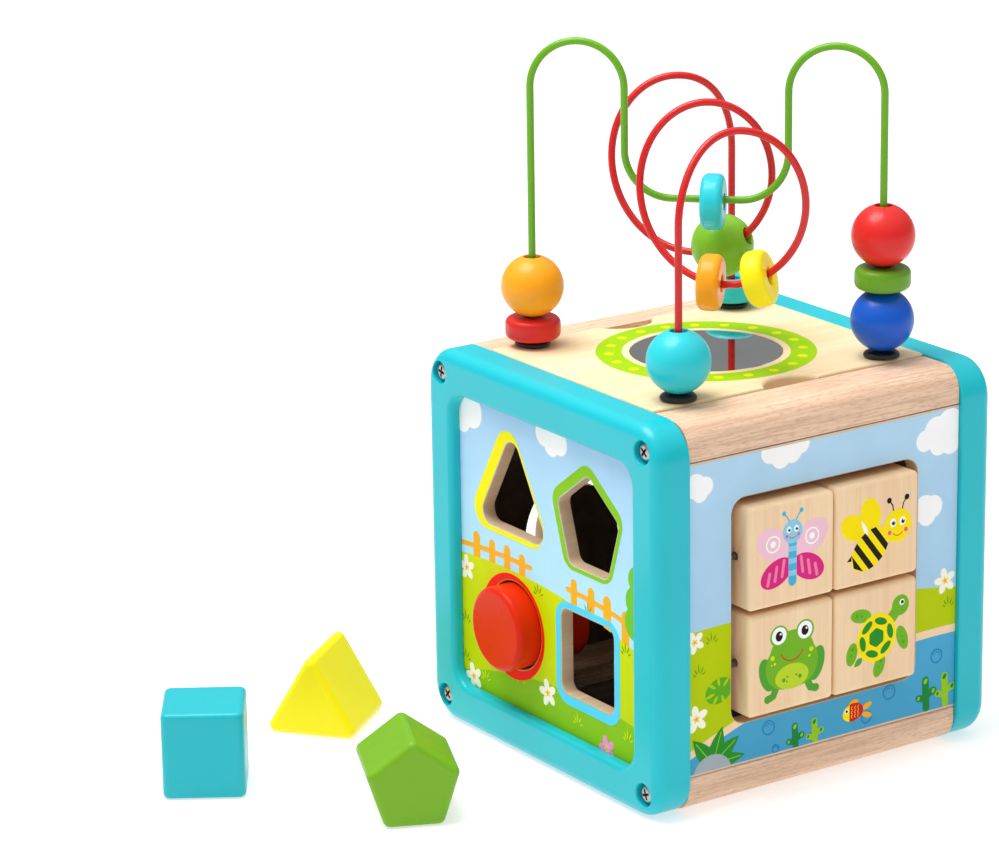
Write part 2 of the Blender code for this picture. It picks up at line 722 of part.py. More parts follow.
def main():
    clear_scene()
    mats = {
        "teal": material("teal_lacquer", (0.065, 0.60, 0.65), 0.25),
        "beech": material("beech", (0.80, 0.60, 0.42), 0.5),
        "pale": material("pale_wood", (0.86, 0.73, 0.53), 0.5),
        "print": material("printed_board", (0.45, 0.75, 0.95), 0.4),
        "steel": material("steel", (0.62, 0.62, 0.64), 0.3, 1.0),
        "mirror": material("mirror", (0.80, 0.84, 0.86), 0.05, 1.0),
        "black": material("black_plastic", (0.02, 0.02, 0.02), 0.4),
        "green_wire": material("green_coating", (0.13, 0.50, 0.03), 0.3),
        "red_wire": material("red_coating", (0.70, 0.02, 0.03), 0.3),
        "red": material("red_lacquer", (0.70, 0.02, 0.02), 0.25),
        "orange": material("orange_lacquer", (0.95, 0.35, 0.02), 0.25),
        "yellow": material("yellow_lacquer", (0.95, 0.80, 0.03), 0.25),
        "green": material("green_lacquer", (0.17, 0.50, 0.03), 0.25),
        "cyan": material("cyan_lacquer", (0.05, 0.52, 0.60), 0.25),
        "blue": material("blue_lacquer", (0.02, 0.08, 0.55), 0.25),
    }
    places = screw_places()
    bores = cylinders("front_screw_bores", places, "Y", SCREW_SHANK_RADIUS + GAP, -0.110, -0.068, 12)
    back_bores = cylinders("back_screw_bores", places, "Y", SCREW_SHANK_RADIUS + GAP, 0.068, 0.110, 12)
    make_frame("front_frame", -1, mats["teal"], bores)
    make_frame("back_frame", 1, mats["teal"], back_bores)
    make_rails(mats["beech"], bores)
    for rail in [o for o in bpy.data.objects if o.name.endswith("_rail")]:
        cut(rail, back_bores)
    make_screws(mats["steel"])
    make_panels(mats["pale"], mats["print"])
    make_puzzle(mats["pale"], mats["steel"])
    sliders = (("arch", TRACK_ARCH_Y, TRACK_ARCH_RADIUS, ARCH_KNOB_ANGLE, "red"),
               ("trough", TRACK_TROUGH_Y, TRACK_TROUGH_RADIUS, TROUGH_KNOB_ANGLE, "yellow"))
    for name, centre_y, radius, angle, colour in sliders:
        make_slider(name, centre_y, radius, angle, mats[colour], mats["pale"])
    make_lid(mats["pale"], mats["mirror"], mats["black"])
    make_maze(mats)
    make_cylinder(mats["red"])
    make_loose_blocks(mats)


main()
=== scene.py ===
"""Looks of a wooden activity cube: fine meshes, printed motifs and procedural materials."""
from math import asin, atan2, cos, degrees, hypot, pi, radians, sin, sqrt

import bmesh
import bpy
from mathutils import Matrix, Vector


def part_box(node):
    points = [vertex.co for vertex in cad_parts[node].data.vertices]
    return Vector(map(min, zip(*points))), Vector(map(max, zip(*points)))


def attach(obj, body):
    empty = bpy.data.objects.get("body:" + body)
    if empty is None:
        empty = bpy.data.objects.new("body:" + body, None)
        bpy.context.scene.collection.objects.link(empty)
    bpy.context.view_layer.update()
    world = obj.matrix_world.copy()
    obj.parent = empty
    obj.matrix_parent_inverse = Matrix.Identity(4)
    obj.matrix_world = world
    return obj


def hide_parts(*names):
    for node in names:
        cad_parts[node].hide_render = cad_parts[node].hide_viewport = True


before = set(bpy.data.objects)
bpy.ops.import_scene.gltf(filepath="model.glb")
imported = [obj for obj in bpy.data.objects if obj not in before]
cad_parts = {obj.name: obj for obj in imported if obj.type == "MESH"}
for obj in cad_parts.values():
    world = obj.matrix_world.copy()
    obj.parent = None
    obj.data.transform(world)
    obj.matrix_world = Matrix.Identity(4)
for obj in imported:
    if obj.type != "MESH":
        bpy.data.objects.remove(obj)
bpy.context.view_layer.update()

MM = 0.001
PAST = 0.01                 # how far a cutter reaches past what it cuts

# Levels and sizes read from the frame
FRAME_LOW, FRAME_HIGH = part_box("front_frame")
CUBE = FRAME_HIGH.z - FRAME_LOW.z
FRAME_THICK = FRAME_HIGH.y - FRAME_LOW.y
FRAME_INNER = -FRAME_HIGH.y
PANEL_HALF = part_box("sorter_panel")[1].x
PUZZLE_LOW, PUZZLE_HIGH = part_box("puzzle_panel")
RAIL_LOW, RAIL_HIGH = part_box("upper_right_rail")
LID_LOW, LID_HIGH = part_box("lid")
MIRROR_LOW, MIRROR_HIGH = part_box("mirror")
FOOT_LOW, FOOT_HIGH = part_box("front_left_wire_foot")
FOOT_X = -(FOOT_LOW.x + FOOT_HIGH.x) / 2
FOOT_Y = -(FOOT_LOW.y + FOOT_HIGH.y) / 2
BALL_RADIUS = (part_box("cyan_ball")[1].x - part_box("cyan_ball")[0].x) / 2
DISC_LOW, DISC_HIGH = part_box("red_disc")
DISC_RADIUS = (DISC_HIGH.x - DISC_LOW.x) / 2
DISC_THICK = DISC_HIGH.z - DISC_LOW.z

# Shape details of the frames, rails and panels
FRAME_CORNER = 0.019
FRAME_EDGE = 0.007
FRAME_INNER_EDGE = 0.001    # small round at the frame's edge next to the rails
WINDOW = 0.1566
WINDOW_CORNER = 0.012
WINDOW_EDGE = 0.003
PANEL_RECESS = 0.006
REBATE_LIP = 0.0037
LEDGE_INNER = RAIL_LOW.x
LEDGE_TOP = 0.1912
RAIL_INNER = 0.070
RAIL_ROUND = 0.012
RAIL_EASED = 0.0011         # small round where a rail meets its side panel
HOLE_LIP = 0.0004           # rounding of a hole's edge
PRINT_EDGE = 1.6 * HOLE_LIP  # from a hole to its printed outline
COUNTERBORE_RADIUS = 0.006
COUNTERBORE_DEPTH = 0.0045
SCREW_INSET = 0.0127
SCREW_HEAD_RADIUS = 0.0046
SCREW_HEAD_THICK = 0.0026
SCREW_SHANK_RADIUS = 0.00175
SCREW_TIP = -0.029
SCREW_POINT = 0.004
RECESS_HALF_LENGTH = 0.0030
RECESS_HALF_WIDTH = 0.00062
COUNTERBORE_LIP = 0.0008
BORE_ROOM = 0.0003          # a bore's radius less that of what goes into it

# Sorter holes: centre x, z, circumscribed radius or half side, corner radius
TRIANGLE = ((-0.0315, 0.1324), 0.0626 / sqrt(3), 0.0065)
PENTAGON = ((0.0342, 0.1340), 0.0273, 0.005)
SQUARE = ((0.0328, 0.0648), 0.0223, 0.005)
CIRCLE = ((-0.0303, 0.0658), 0.0232)

# Puzzle and track
PUZZLE_WINDOW = 0.116
PUZZLE_CENTRE_Z = 0.0995
PUZZLE_WINDOW_CORNER = 0.008
BLOCK_EDGE = 0.0025
PICTURE_ROOM = 0.0001       # taken off a turning block's face for its printed picture
ROD_RADIUS = 0.0022
TRACK_ARCH_RADIUS = 0.0295
TRACK_ARCH_Y = -0.016
TRACK_TROUGH_RADIUS = 0.022
TRACK_TROUGH_Y = TRACK_ARCH_Y + TRACK_ARCH_RADIUS + TRACK_TROUGH_RADIUS
TRACK_CENTRE_Z = 0.086
TRACK_LEG = 0.022
TRACK_HALF_WIDTH = 0.006
KNOB_RADIUS = 0.011
KNOB_GAP = 0.0006           # between a knob and the panel's face
STEM_RADIUS = 0.0054

# Lid
LID_TOP = LID_HIGH.z
SCOOP_RADIUS = 0.019
SCOOP_DEPTH = 0.0115
SCOOP_LIP = 0.0022
LID_EDGE = 0.0013
MIRROR_RADIUS = MIRROR_HIGH.x
MIRROR_EDGE = 0.0003
WIRE_HOLE = 0.0022

# Bead maze
WIRE_RADIUS = 0.0019
WIRE_END_Z = 0.1925
ARCH_RADIUS = 0.02375
ARCH_CENTRE_Z = 0.3342
DIP_RADIUS = 0.024
DIP_CENTRE_Z = 0.3030
LOOP_HALF_WIDTH = 0.0371
LOOP_HALF_HEIGHT = 0.0424
LOOP_CENTRE_Z = 0.2860
LOOP_PITCH = 0.062
LOOP_DRIFT = 0.403
BALL_BORE = 0.0043
DISC_BORE = 0.0043
DISC_BORE_LIP = 0.0005
DISC_LEAN = radians(13)     # how far a disc on a loop leans over on the wire
DISC_EDGE = 0.0035
UPRIGHT = Vector((0, 0, 1))
DIAGONAL = hypot(FOOT_X, FOOT_Y)
GREEN_DIRECTION = Vector((FOOT_X, FOOT_Y, 0)).normalized()
RED_DIRECTION = Vector((-FOOT_X, FOOT_Y, 0)).normalized()
RED_SIDE = Vector((RED_DIRECTION.y, -RED_DIRECTION.x, 0))

# Sorter blocks; a loose block is its length, its turn in degrees and its edge rounding
CYLINDER_EDGE = 0.003
LOOSE_CORNER = 0.0038
SQUARE_BLOCK_WIDTH = 0.0413
TRIANGLE_BLOCK_RADIUS = 0.0301
PENTAGON_BLOCK_RADIUS = 0.0247
SQUARE_BLOCK = (0.0448, 57.0, 0.0025)
TRIANGLE_BLOCK = (0.050, 38.5, 0.0042)
PENTAGON_BLOCK = (0.046, 65.3, 0.0034)

# Studio: the floor, then the world's brightness from straight below (0) to straight above (1)
FLOOR_HALF = 9.0
FLOOR_LEVEL = -0.0004
FLOOR_THICK = 0.02
SKY_STOPS = ((0.0, 0.27), (0.36, 0.30), (0.62, 0.80), (1.0, 1.1))

# Camera: the photograph's viewing angle
CAMERA_AT = Vector((1.5763, -1.1881, 0.7554))
CAMERA_YAW = 56.04
CAMERA_PITCH = -16.77
CAMERA_ROLL = -0.90
CAMERA_LENS = 146.2


# ---- materials

def rgb(red, green, blue):
    """A colour as seen on screen, 0 to 255, turned into the linear values that shaders use."""
    linear = []
    for part in (red, green, blue):
        c = part / 255
        linear.append(c / 12.92 if c <= 0.04045 else ((c + 0.055) / 1.055) ** 2.4)
    return (*linear, 1.0)


def shaded(colour, factor):
    return (*[min(1.0, c * factor) for c in colour[:3]], 1.0)


class Shader:
    """Adds nodes to one material; its patterns are read in the object's own coordinates."""

    def __init__(self, name):
        self.mat = bpy.data.materials.new(name)
        self.mat.use_nodes = True
        self.tree = self.mat.node_tree
        self.principled = self.tree.nodes["Principled BSDF"]
        self.here = self.node("ShaderNodeTexCoord").outputs["Object"]

    def node(self, kind, **settings):
        node = self.tree.nodes.new(kind)
        for key, value in settings.items():
            setattr(node, key, value)
        return node

    def put(self, socket, value):
        if isinstance(value, bpy.types.NodeSocket):
            self.tree.links.new(value, socket)
        else:
            socket.default_value = value

    def look(self, **values):
        """Sets the shader's own sockets, such as Base_Color or Roughness."""
        for name, value in values.items():
            self.put(self.principled.inputs[name.replace("_", " ")], value)

    def number(self, operation, *values):
        node = self.node("ShaderNodeMath", operation=operation)
        for socket, value in zip(node.inputs, values):
            self.put(socket, value)
        return node.outputs[0]

    def mixed(self, share, first, second):
        node = self.node("ShaderNodeMix", data_type="RGBA")
        self.put(node.inputs[0], share)
        self.put(node.inputs[6], first)
        self.put(node.inputs[7], second)
        return node.outputs[2]

    def noise(self, scale, detail=3.0, stretch=(1.0, 1.0, 1.0), twist=0.0):
        mapping = self.node("ShaderNodeMapping")
        self.put(mapping.inputs["Vector"], self.here)
        self.put(mapping.inputs["Scale"], stretch)
        node = self.node("ShaderNodeTexNoise")
        self.put(node.inputs["Vector"], mapping.outputs[0])
        self.put(node.inputs["Scale"], scale)
        self.put(node.inputs["Detail"], detail)
        self.put(node.inputs["Distortion"], twist)
        return node.outputs[0]

    def between(self, value, low, high, to_low=0.0, to_high=1.0):
        node = self.node("ShaderNodeMapRange")
        for socket, setting in zip(node.inputs, (value, low, high, to_low, to_high)):
            self.put(socket, setting)
        return node.outputs[0]

    def axis(self, letter):
        node = self.node("ShaderNodeSeparateXYZ")
        self.put(node.inputs[0], self.here)
        return node.outputs["XYZ".index(letter)]

    def bump(self, height, strength, distance):
        node = self.node("ShaderNodeBump")
        self.put(node.inputs["Height"], height)
        self.put(node.inputs["Strength"], strength)
        self.put(node.inputs["Distance"], distance)
        self.look(Normal=node.outputs[0])


def lacquer(name, colour, roughness=0.34, coat=0.12, deep=0.95, specular=0.25):
    """Coloured lacquer over wood: very soft clouding, a faint ghost of the grain and a thin gloss."""
    s = Shader(name)
    cloud = s.between(s.noise(14.0, 2.0), 0.35, 0.65)
    s.look(Base_Color=s.mixed(cloud, shaded(colour, deep), colour))
    s.look(Roughness=s.between(s.noise(140.0, 2.0), 0.3, 0.7, roughness - 0.03, roughness + 0.05))
    s.look(Specular_IOR_Level=specular, Coat_Weight=coat, Coat_Roughness=0.12, Coat_IOR=1.5)
    s.bump(s.noise(420.0, 2.0, (1.0, 1.0, 0.12)), 0.015, 0.0002)
    return s.mat


def along_stretch(along, short):
    stretch = [1.0, 1.0, 1.0]
    stretch["XYZ".index(along)] = short
    return tuple(stretch)


def wood(name, light, dark, along, across, fleck, band, band_share, roughness=0.5, streak=0.25):
    """Bare wood with its grain along one axis; across is the axis that its glued strips follow."""
    s = Shader(name)
    figure = s.between(s.noise(70.0, 4.0, along_stretch(along, 0.07), 0.6), 0.33, 0.68)
    fibre = s.noise(900.0, 2.0, along_stretch(along, 0.03))
    colour = s.mixed(figure, light, dark)
    strip = s.node("ShaderNodeTexWhiteNoise", noise_dimensions="1D")
    s.put(strip.inputs["W"], s.number("FLOOR", s.number("MULTIPLY", s.axis(across), 1.0 / band)))
    share = s.number("MULTIPLY", strip.outputs["Value"], band_share)
    colour = s.mixed(share, colour, shaded(dark, 0.97))
    colour = s.mixed(s.between(fibre, 0.42, 0.72, 0.0, streak), colour, shaded(dark, 0.78))
    if fleck:
        dash = s.between(s.noise(1500.0, 1.0, along_stretch(along, 0.14)), 0.54, 0.66)
        colour = s.mixed(s.number("MULTIPLY", dash, fleck), colour, shaded(dark, 0.70))
    s.look(Base_Color=colour)
    s.look(Roughness=s.between(fibre, 0.3, 0.7, roughness - 0.06, roughness + 0.08))
    s.look(Specular_IOR_Level=0.22)
    s.bump(fibre, 0.05, 0.0002)
    return s.mat


def inked(s, colour):
    """Common finish of printed surfaces: a slight mottle, the pressing's fine tooth and a satin varnish."""
    mottle = s.between(s.noise(60.0, 3.0), 0.3, 0.7)
    s.look(Base_Color=s.mixed(mottle, colour, s.mixed(0.05, colour, (0.0, 0.0, 0.0, 1.0))))
    s.look(Roughness=s.between(s.noise(260.0, 2.0), 0.3, 0.7, 0.46, 0.56))
    s.look(Specular_IOR_Level=0.08)
    s.bump(s.noise(1500.0, 1.0), 0.02, 0.0001)
    return s.mat


def scenery(name, across, sky, hills):
    """A printed board: a sky, then hills as (top, where the crest is, fall, low colour, high colour)."""
    s = Shader(name)
    u = s.number("MULTIPLY", s.axis(across), 1000.0)
    v = s.number("MULTIPLY", s.axis("Z"), 1000.0)
    colour = s.mixed(s.between(v, 95.0, 175.0), rgb(*sky[0]), rgb(*sky[1]))
    for crest, at, fall, low, high in hills:
        offset = s.number("SUBTRACT", u, at)
        drop = s.number("MULTIPLY", s.number("MULTIPLY", offset, offset), fall)
        height = s.number("SUBTRACT", crest, drop)
        inside = s.number("LESS_THAN", v, height)
        fill = s.mixed(s.between(v, crest - 60.0, crest), rgb(*low), rgb(*high))
        colour = s.mixed(inside, colour, fill)
    return inked(s, colour)


def metal(name, colour, roughness):
    s = Shader(name)
    grime = s.noise(300.0, 3.0)
    s.look(Base_Color=s.mixed(s.between(grime, 0.4, 0.7), colour, shaded(colour, 0.82)))
    s.look(Metallic=1.0)
    s.look(Roughness=s.between(s.noise(800.0, 2.0), 0.3, 0.7, roughness, roughness + 0.12))
    s.bump(s.noise(1400.0, 2.0, (1.0, 1.0, 0.2)), 0.04, 0.0001)
    return s.mat


def mirror_glass():
    s = Shader("mirror_glass")
    haze = s.between(s.noise(45.0, 3.0), 0.35, 0.7)
    s.look(Base_Color=s.mixed(haze, rgb(216, 217, 219), rgb(208, 210, 212)))
    s.look(Metallic=1.0)
    s.look(Roughness=s.between(haze, 0.0, 1.0, 0.02, 0.05))
    return s.mat


def plastic(name, colour, roughness):
    s = Shader(name)
    s.look(Base_Color=s.mixed(s.between(s.noise(120.0, 3.0), 0.3, 0.7), colour, shaded(colour, 1.5)))
    s.look(Roughness=s.between(s.noise(500.0, 2.0), 0.3, 0.7, roughness - 0.05, roughness + 0.1))
    s.bump(s.noise(900.0, 2.0), 0.08, 0.0002)
    return s.mat


# Lacquers: colour, then roughness, coat, share of the darker tone and specular level where not usual
LACQUERS = {
    "teal": ((22, 191, 204), 0.32),
    "green_wire": ((106, 172, 22), 0.3, 0.2, 0.92),
    "red_wire": ((212, 36, 34), 0.3, 0.2, 0.92),
    "red": ((226, 42, 4), 0.3, 0.04, 0.95, 0.12),
    "bead_red": ((224, 38, 34), 0.34, 0.15),
    "orange": ((255, 165, 24), 0.36),
    "yellow": ((255, 236, 8), 0.38, 0.06),
    "green": ((118, 176, 26), 0.38, 0.06),
    # the green ball: the discs' green made lighter, painted light to make up for shade on the ball
    "bead_green_painted_light": ((128, 190, 38), 0.36),
    "disc_green": ((104, 160, 28), 0.36),
    "cyan": ((28, 184, 196),),
    "bead_cyan": ((44, 204, 214),),
    "blue": ((14, 90, 204), 0.34, 0.12, 0.92),
}

# Woods: light and dark tones, grain axis, axis across the glued strips, flecks, strip width and
# contrast, then roughness and streaks where not usual
WOODS = {
    "beech": ((250, 216, 186), (226, 186, 156), "Y", "X", 0.5, 0.5, 0.1, 0.5, 0.8),
    "lid": ((248, 230, 190), (238, 211, 166), "Y", "X", 0.10, 0.021, 0.4),
    "block": ((250, 220, 180), (242, 205, 162), "Z", "Y", 0.05, 0.0087, 0.45),
    "board": ((222, 194, 162), (206, 174, 142), "Y", "X", 0.0, 0.5, 0.1, 0.6),
    "base": ((120, 116, 106), (98, 94, 86), "Y", "X", 0.1, 0.5, 0.1, 0.65),
    # inside: the panels' inner faces, wood darkened as painted shade of the closed box
    "inside": ((112, 98, 84), (92, 80, 68), "X", "Z", 0.2, 0.04, 0.3, 0.65),
}

# Prints: axis across the panel, sky's low and high colours, hills as scenery() takes them
SKY = ((186, 234, 255), (174, 214, 246))
PRINTS = {
    "sorter": ("X", SKY, (
        (94.5, -35.0, 0.00112, (192, 216, 0), (214, 228, 0)),
        (44.0, 32.0, 0.0013, (126, 190, 14), (138, 198, 18)))),
    "puzzle": ("Y", ((174, 212, 240), (182, 220, 245)), (
        (95.2, -50.0, 0.0006, (180, 204, 0), (188, 208, 0)),
        (64.7, 73.0, 0.00128, (250, 212, 172), (252, 216, 178)),
        (60.5, 73.0, 0.00128, (68, 156, 200), (80, 172, 214)))),
    "back": ("X", SKY, (
        (88.0, 30.0, 0.0014, (178, 208, 0), (204, 222, 0)),
        (58.0, -50.0, 0.0020, (120, 186, 16), (140, 200, 24)))),
    "track": ("Y", SKY, (
        (66.0, 40.0, 0.0016, (176, 204, 0), (200, 220, 0)),
        (44.0, -50.0, 0.0013, (120, 186, 16), (140, 200, 24)))),
}

INK_COLOURS = {
    "white": (255, 255, 255), "cream": (255, 253, 232), "cloud_edge": (214, 224, 236),
    "fence": (250, 180, 30), "grass": (112, 160, 8), "hill": (184, 206, 0), "bare": (226, 196, 160),
    "straw": (214, 230, 20), "centre": (255, 214, 84), "core": (250, 172, 40), "pink": (244, 150, 200),
    "bush": (118, 200, 52), "outline_yellow": (250, 240, 0), "outline_green": (138, 200, 20),
    "outline_red": (250, 22, 0), "outline_blue": (88, 216, 255), "ring_green": (158, 206, 0),
    "dot_yellow": (222, 228, 10), "leaf": (92, 176, 36), "dark_leaf": (40, 144, 44),
    "vein": (140, 206, 40), "stone": (166, 178, 186), "ripple": (44, 138, 194), "weed": (30, 134, 60),
    "weed_light": (152, 202, 34), "scarlet": (214, 34, 28), "wing_pink": (248, 200, 216),
    "magenta": (222, 40, 128), "rose": (240, 132, 172), "sky_blue": (140, 206, 236),
    "body_blue": (76, 180, 218), "lemon": (255, 230, 0), "coal": (32, 26, 24), "frog": (116, 182, 38),
    "belly": (190, 216, 46), "limb": (84, 164, 50), "cheek": (238, 96, 148), "mouth": (206, 60, 40),
}

MATS = {
    "steel": metal("steel", rgb(178, 176, 174), 0.3),
    # dark steel for the screws' cross recesses: painted shade in the recess
    "recess": metal("steel_recess_painted_shade", rgb(70, 68, 68), 0.5),
    # steel for the rods, darkened to the tone of the shaded wood round them: painted shade
    "rod_steel_painted_shade": metal("rod_steel_painted_shade", rgb(112, 104, 98), 0.45),
    "mirror": mirror_glass(),
    "black": plastic("black_rubber", rgb(24, 24, 26), 0.34),
}
MATS.update({key: lacquer(key + "_lacquer", rgb(*row[0]), *row[1:]) for key, row in LACQUERS.items()})
MATS.update({key: wood(key + "_wood", rgb(*row[0]), rgb(*row[1]), *row[2:]) for key, row in WOODS.items()})
MATS.update({key: scenery(key + "_print", *row) for key, row in PRINTS.items()})
INKS = {key: inked(Shader(key + "_ink"), rgb(*colour)) for key, colour in INK_COLOURS.items()}


# ---- outlines

def polar(centre, radius, turn):
    """The point at a distance from the centre, in the direction turn, in degrees."""
    a = radians(turn)
    return centre[0] + radius * cos(a), centre[1] + radius * sin(a)


def arc(centre, radius, start, end, steps):
    """Points on an arc from start to end, in degrees."""
    return [polar(centre, radius, start + (end - start) * i / steps) for i in range(steps + 1)]


def circle(at, radius, steps=32):
    return arc(at, radius, 0, 360, steps)[:-1]


def oval(at, half_long, half_wide, turn=0.0, steps=32):
    level = [(u * half_long, v * half_wide) for u, v in circle((0, 0), 1.0, steps)]
    return turned_by(turn, at, level)


def leaf(base, tip, width, steps=10):
    """A pointed leaf from base to tip."""
    along = (tip[0] - base[0], tip[1] - base[1])
    side = (-along[1], along[0])
    length = hypot(*along)
    edge = []
    for i in range(2 * steps):
        t = i / steps if i <= steps else 2 - i / steps
        bulge = width / 2 / length * sin(pi * t ** 0.8) * (1 if i <= steps else -1)
        edge.append((base[0] + along[0] * t + side[0] * bulge, base[1] + along[1] * t + side[1] * bulge))
    return edge


def stroke(points, width):
    """Outline of a line of one width with round ends."""
    half = width / 2
    left, right = [], []
    for i, (u, v) in enumerate(points):
        before = points[max(i - 1, 0)]
        after = points[min(i + 1, len(points) - 1)]
        length = hypot(after[0] - before[0], after[1] - before[1])
        nu, nv = -(after[1] - before[1]) / length * half, (after[0] - before[0]) / length * half
        left.append((u + nu, v + nv))
        right.append((u - nu, v - nv))
    last = degrees(atan2(left[-1][1] - points[-1][1], left[-1][0] - points[-1][0]))
    first = degrees(atan2(right[0][1] - points[0][1], right[0][0] - points[0][0]))
    return left + arc(points[-1], half, last, last - 180, 6)[1:-1] + right[::-1] + arc(
        points[0], half, first, first - 180, 6)[1:-1]


def puffs(circles, steps=72):
    """Outline round overlapping circles, as seen from their common middle."""
    cu = sum(c[0] for c in circles) / len(circles)
    cv = sum(c[1] for c in circles) / len(circles)
    points = []
    for i in range(steps):
        a = 2 * pi * i / steps
        du, dv = cos(a), sin(a)
        reach = 0.5
        for u, v, radius in circles:
            along = (u - cu) * du + (v - cv) * dv
            inside = radius ** 2 - (u - cu) ** 2 - (v - cv) ** 2 + along ** 2
            if inside > 0:
                reach = max(reach, along + sqrt(inside))
        points.append((cu + reach * du, cv + reach * dv))
    return points


def clipped(outline, limits):
    """The part of an outline inside (low u, high u, low v, high v)."""
    for axis, bound, keep in ((0, limits[0], 1), (0, limits[1], -1), (1, limits[2], 1), (1, limits[3], -1)):
        kept = []
        for i, here in enumerate(outline):
            there = outline[(i + 1) % len(outline)]
            inside = keep * (here[axis] - bound) >= 0
            next_inside = keep * (there[axis] - bound) >= 0
            if inside:
                kept.append(here)
            if inside != next_inside:
                t = (bound - here[axis]) / (there[axis] - here[axis])
                kept.append((here[0] + t * (there[0] - here[0]), here[1] + t * (there[1] - here[1])))
        outline = kept
    return outline


def rounded_square(half, radius, steps=12):
    c = half - radius
    points = []
    for start, (su, sv) in zip((0, 90, 180, 270), ((1, 1), (-1, 1), (-1, -1), (1, -1))):
        points += arc((su * c, sv * c), radius, start, start + 90, steps)
    return points


def rounded_regular(count, radius, corner, steps=12):
    """A regular polygon with one corner up and its corners rounded."""
    half_turn = 180.0 / count
    inner = radius - corner / cos(radians(half_turn))
    points = []
    for k in range(count):
        a = 90.0 + 2 * half_turn * k
        points += arc(polar((0, 0), inner, a), corner, a - half_turn, a + half_turn, steps)
    return points


def moved(outline, at):
    return [(u + at[0], v + at[1]) for u, v in outline]


def in_mm(outline):
    return [(u / MM, v / MM) for u, v in outline]


def rectangle(low_u, high_u, low_v, high_v):
    return [(low_u, low_v), (high_u, low_v), (high_u, high_v), (low_u, high_v)]


def turned_by(turn, at, outline):
    """The outline turned about its origin, in degrees, then moved."""
    c, s = cos(radians(turn)), sin(radians(turn))
    return [(at[0] + c * u - s * v, at[1] + s * u + c * v) for u, v in outline]


def regular_hole(count, shape):
    """Returns a function that gives the hole's outline, made larger all round by an outset."""
    at, radius, corner = shape
    reach = cos(pi / count)
    return lambda outset: moved(rounded_regular(count, radius + outset / reach, corner + outset), at)


HOLES = {
    "triangle": regular_hole(3, TRIANGLE),
    "pentagon": regular_hole(5, PENTAGON),
    "square": lambda outset: moved(rounded_square(SQUARE[1] + outset, SQUARE[2] + outset), SQUARE[0]),
    "circle": lambda outset: circle(CIRCLE[0], CIRCLE[1] + outset, 72),
}


# ---- meshes

def on_face(axis, side, level):
    """Returns a function that places (u, v) at a height over a face square to an axis."""
    def place(u, v, height):
        point = [u, v]
        point.insert("XYZ".index(axis), level + side * height)
        return Vector(point)
    return place


def add_rings(bm, loops, closed=False, slot=0):
    """Bridges loops of equal length; closed joins the last to the first, else both ends are capped."""
    rings = [[bm.verts.new(p) for p in loop] for loop in loops]
    pairs = list(zip(rings, rings[1:] + rings[:1]))
    faces = []
    if not closed:
        pairs.pop()
        faces += [bm.faces.new(rings[0]), bm.faces.new(rings[-1])]
    for a, b in pairs:
        for i in range(len(a)):
            j = (i + 1) % len(a)
            faces.append(bm.faces.new((a[i], a[j], b[j], b[i])))
    for face in faces:
        face.material_index = slot


def ring(at, radius, z, steps):
    return [(u, v, z) for u, v in circle(at, radius, steps)]


def linked(name, data):
    obj = bpy.data.objects.new(name, data)
    bpy.context.scene.collection.objects.link(obj)
    return obj


def new_object(name, bm, mats, smooth=True, sharp=35.0):
    bmesh.ops.recalc_face_normals(bm, faces=bm.faces)
    mesh = bpy.data.meshes.new(name)
    bm.to_mesh(mesh)
    bm.free()
    for mat in mats:
        mesh.materials.append(mat)
    if smooth:
        mesh.shade_smooth()
        mesh.set_sharp_from_angle(angle=radians(sharp))
    return linked(name, mesh)


def add_prism(bm, outline, axis, start, end):
    place = on_face(axis, 1, 0.0)
    add_rings(bm, [[place(u, v, w) for u, v in outline] for w in (start, end)])


def prism(name, outline, axis, start, end, mats):
    bm = bmesh.new()
    add_prism(bm, outline, axis, start, end)
    return new_object(name, bm, mats)


def turned(name, profile, mats, closed=False, steps=48):
    """A piece turned about local Z from (radius, z) points; closed is a ring round a bore."""
    bm = bmesh.new()
    add_rings(bm, [ring((0, 0), radius, z, steps) for radius, z in profile], closed)
    return new_object(name, bm, mats)


def cut(obj, cutter):
    mod = obj.modifiers.new("cut", "BOOLEAN")
    mod.operation = "DIFFERENCE"
    mod.solver = "EXACT"
    mod.object = cutter


def finished(obj, edge=0.0, segments=4, sharp=35.0):
    """Rounds the sharp edges, evens the shading and applies every modifier."""
    if edge:
        mod = obj.modifiers.new("edge", "BEVEL")
        mod.width = edge
        mod.segments = segments
        mod.limit_method = "ANGLE"
        mod.angle_limit = radians(sharp)
    obj.modifiers.new("even", "WEIGHTED_NORMAL").keep_sharp = True
    cutters = [m.object for m in obj.modifiers if m.type == "BOOLEAN"]
    depsgraph = bpy.context.evaluated_depsgraph_get()
    mesh = bpy.data.meshes.new_from_object(obj.evaluated_get(depsgraph))
    obj.modifiers.clear()
    obj.data = mesh
    for cutter in cutters:
        if cutter.users_collection:
            bpy.data.objects.remove(cutter, do_unlink=True)
    return obj


def cutter_object(name, bm):
    return new_object(name, bm, [], smooth=False)


def middle_of(node):
    low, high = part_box(node)
    return (low + high) / 2


def rotation(turn, axis):
    return Matrix.Rotation(radians(turn), 4, axis)


def stands_for(obj, node, body):
    """The piece takes the place of a CAD node and moves with its body."""
    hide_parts(node)
    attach(obj, body)
    return obj


# ---- frames, rails and screws

def screw_places():
    offset = CUBE / 2 - SCREW_INSET
    return [(su * offset, CUBE / 2 + sv * offset) for su in (-1, 1) for sv in (-1, 1)]


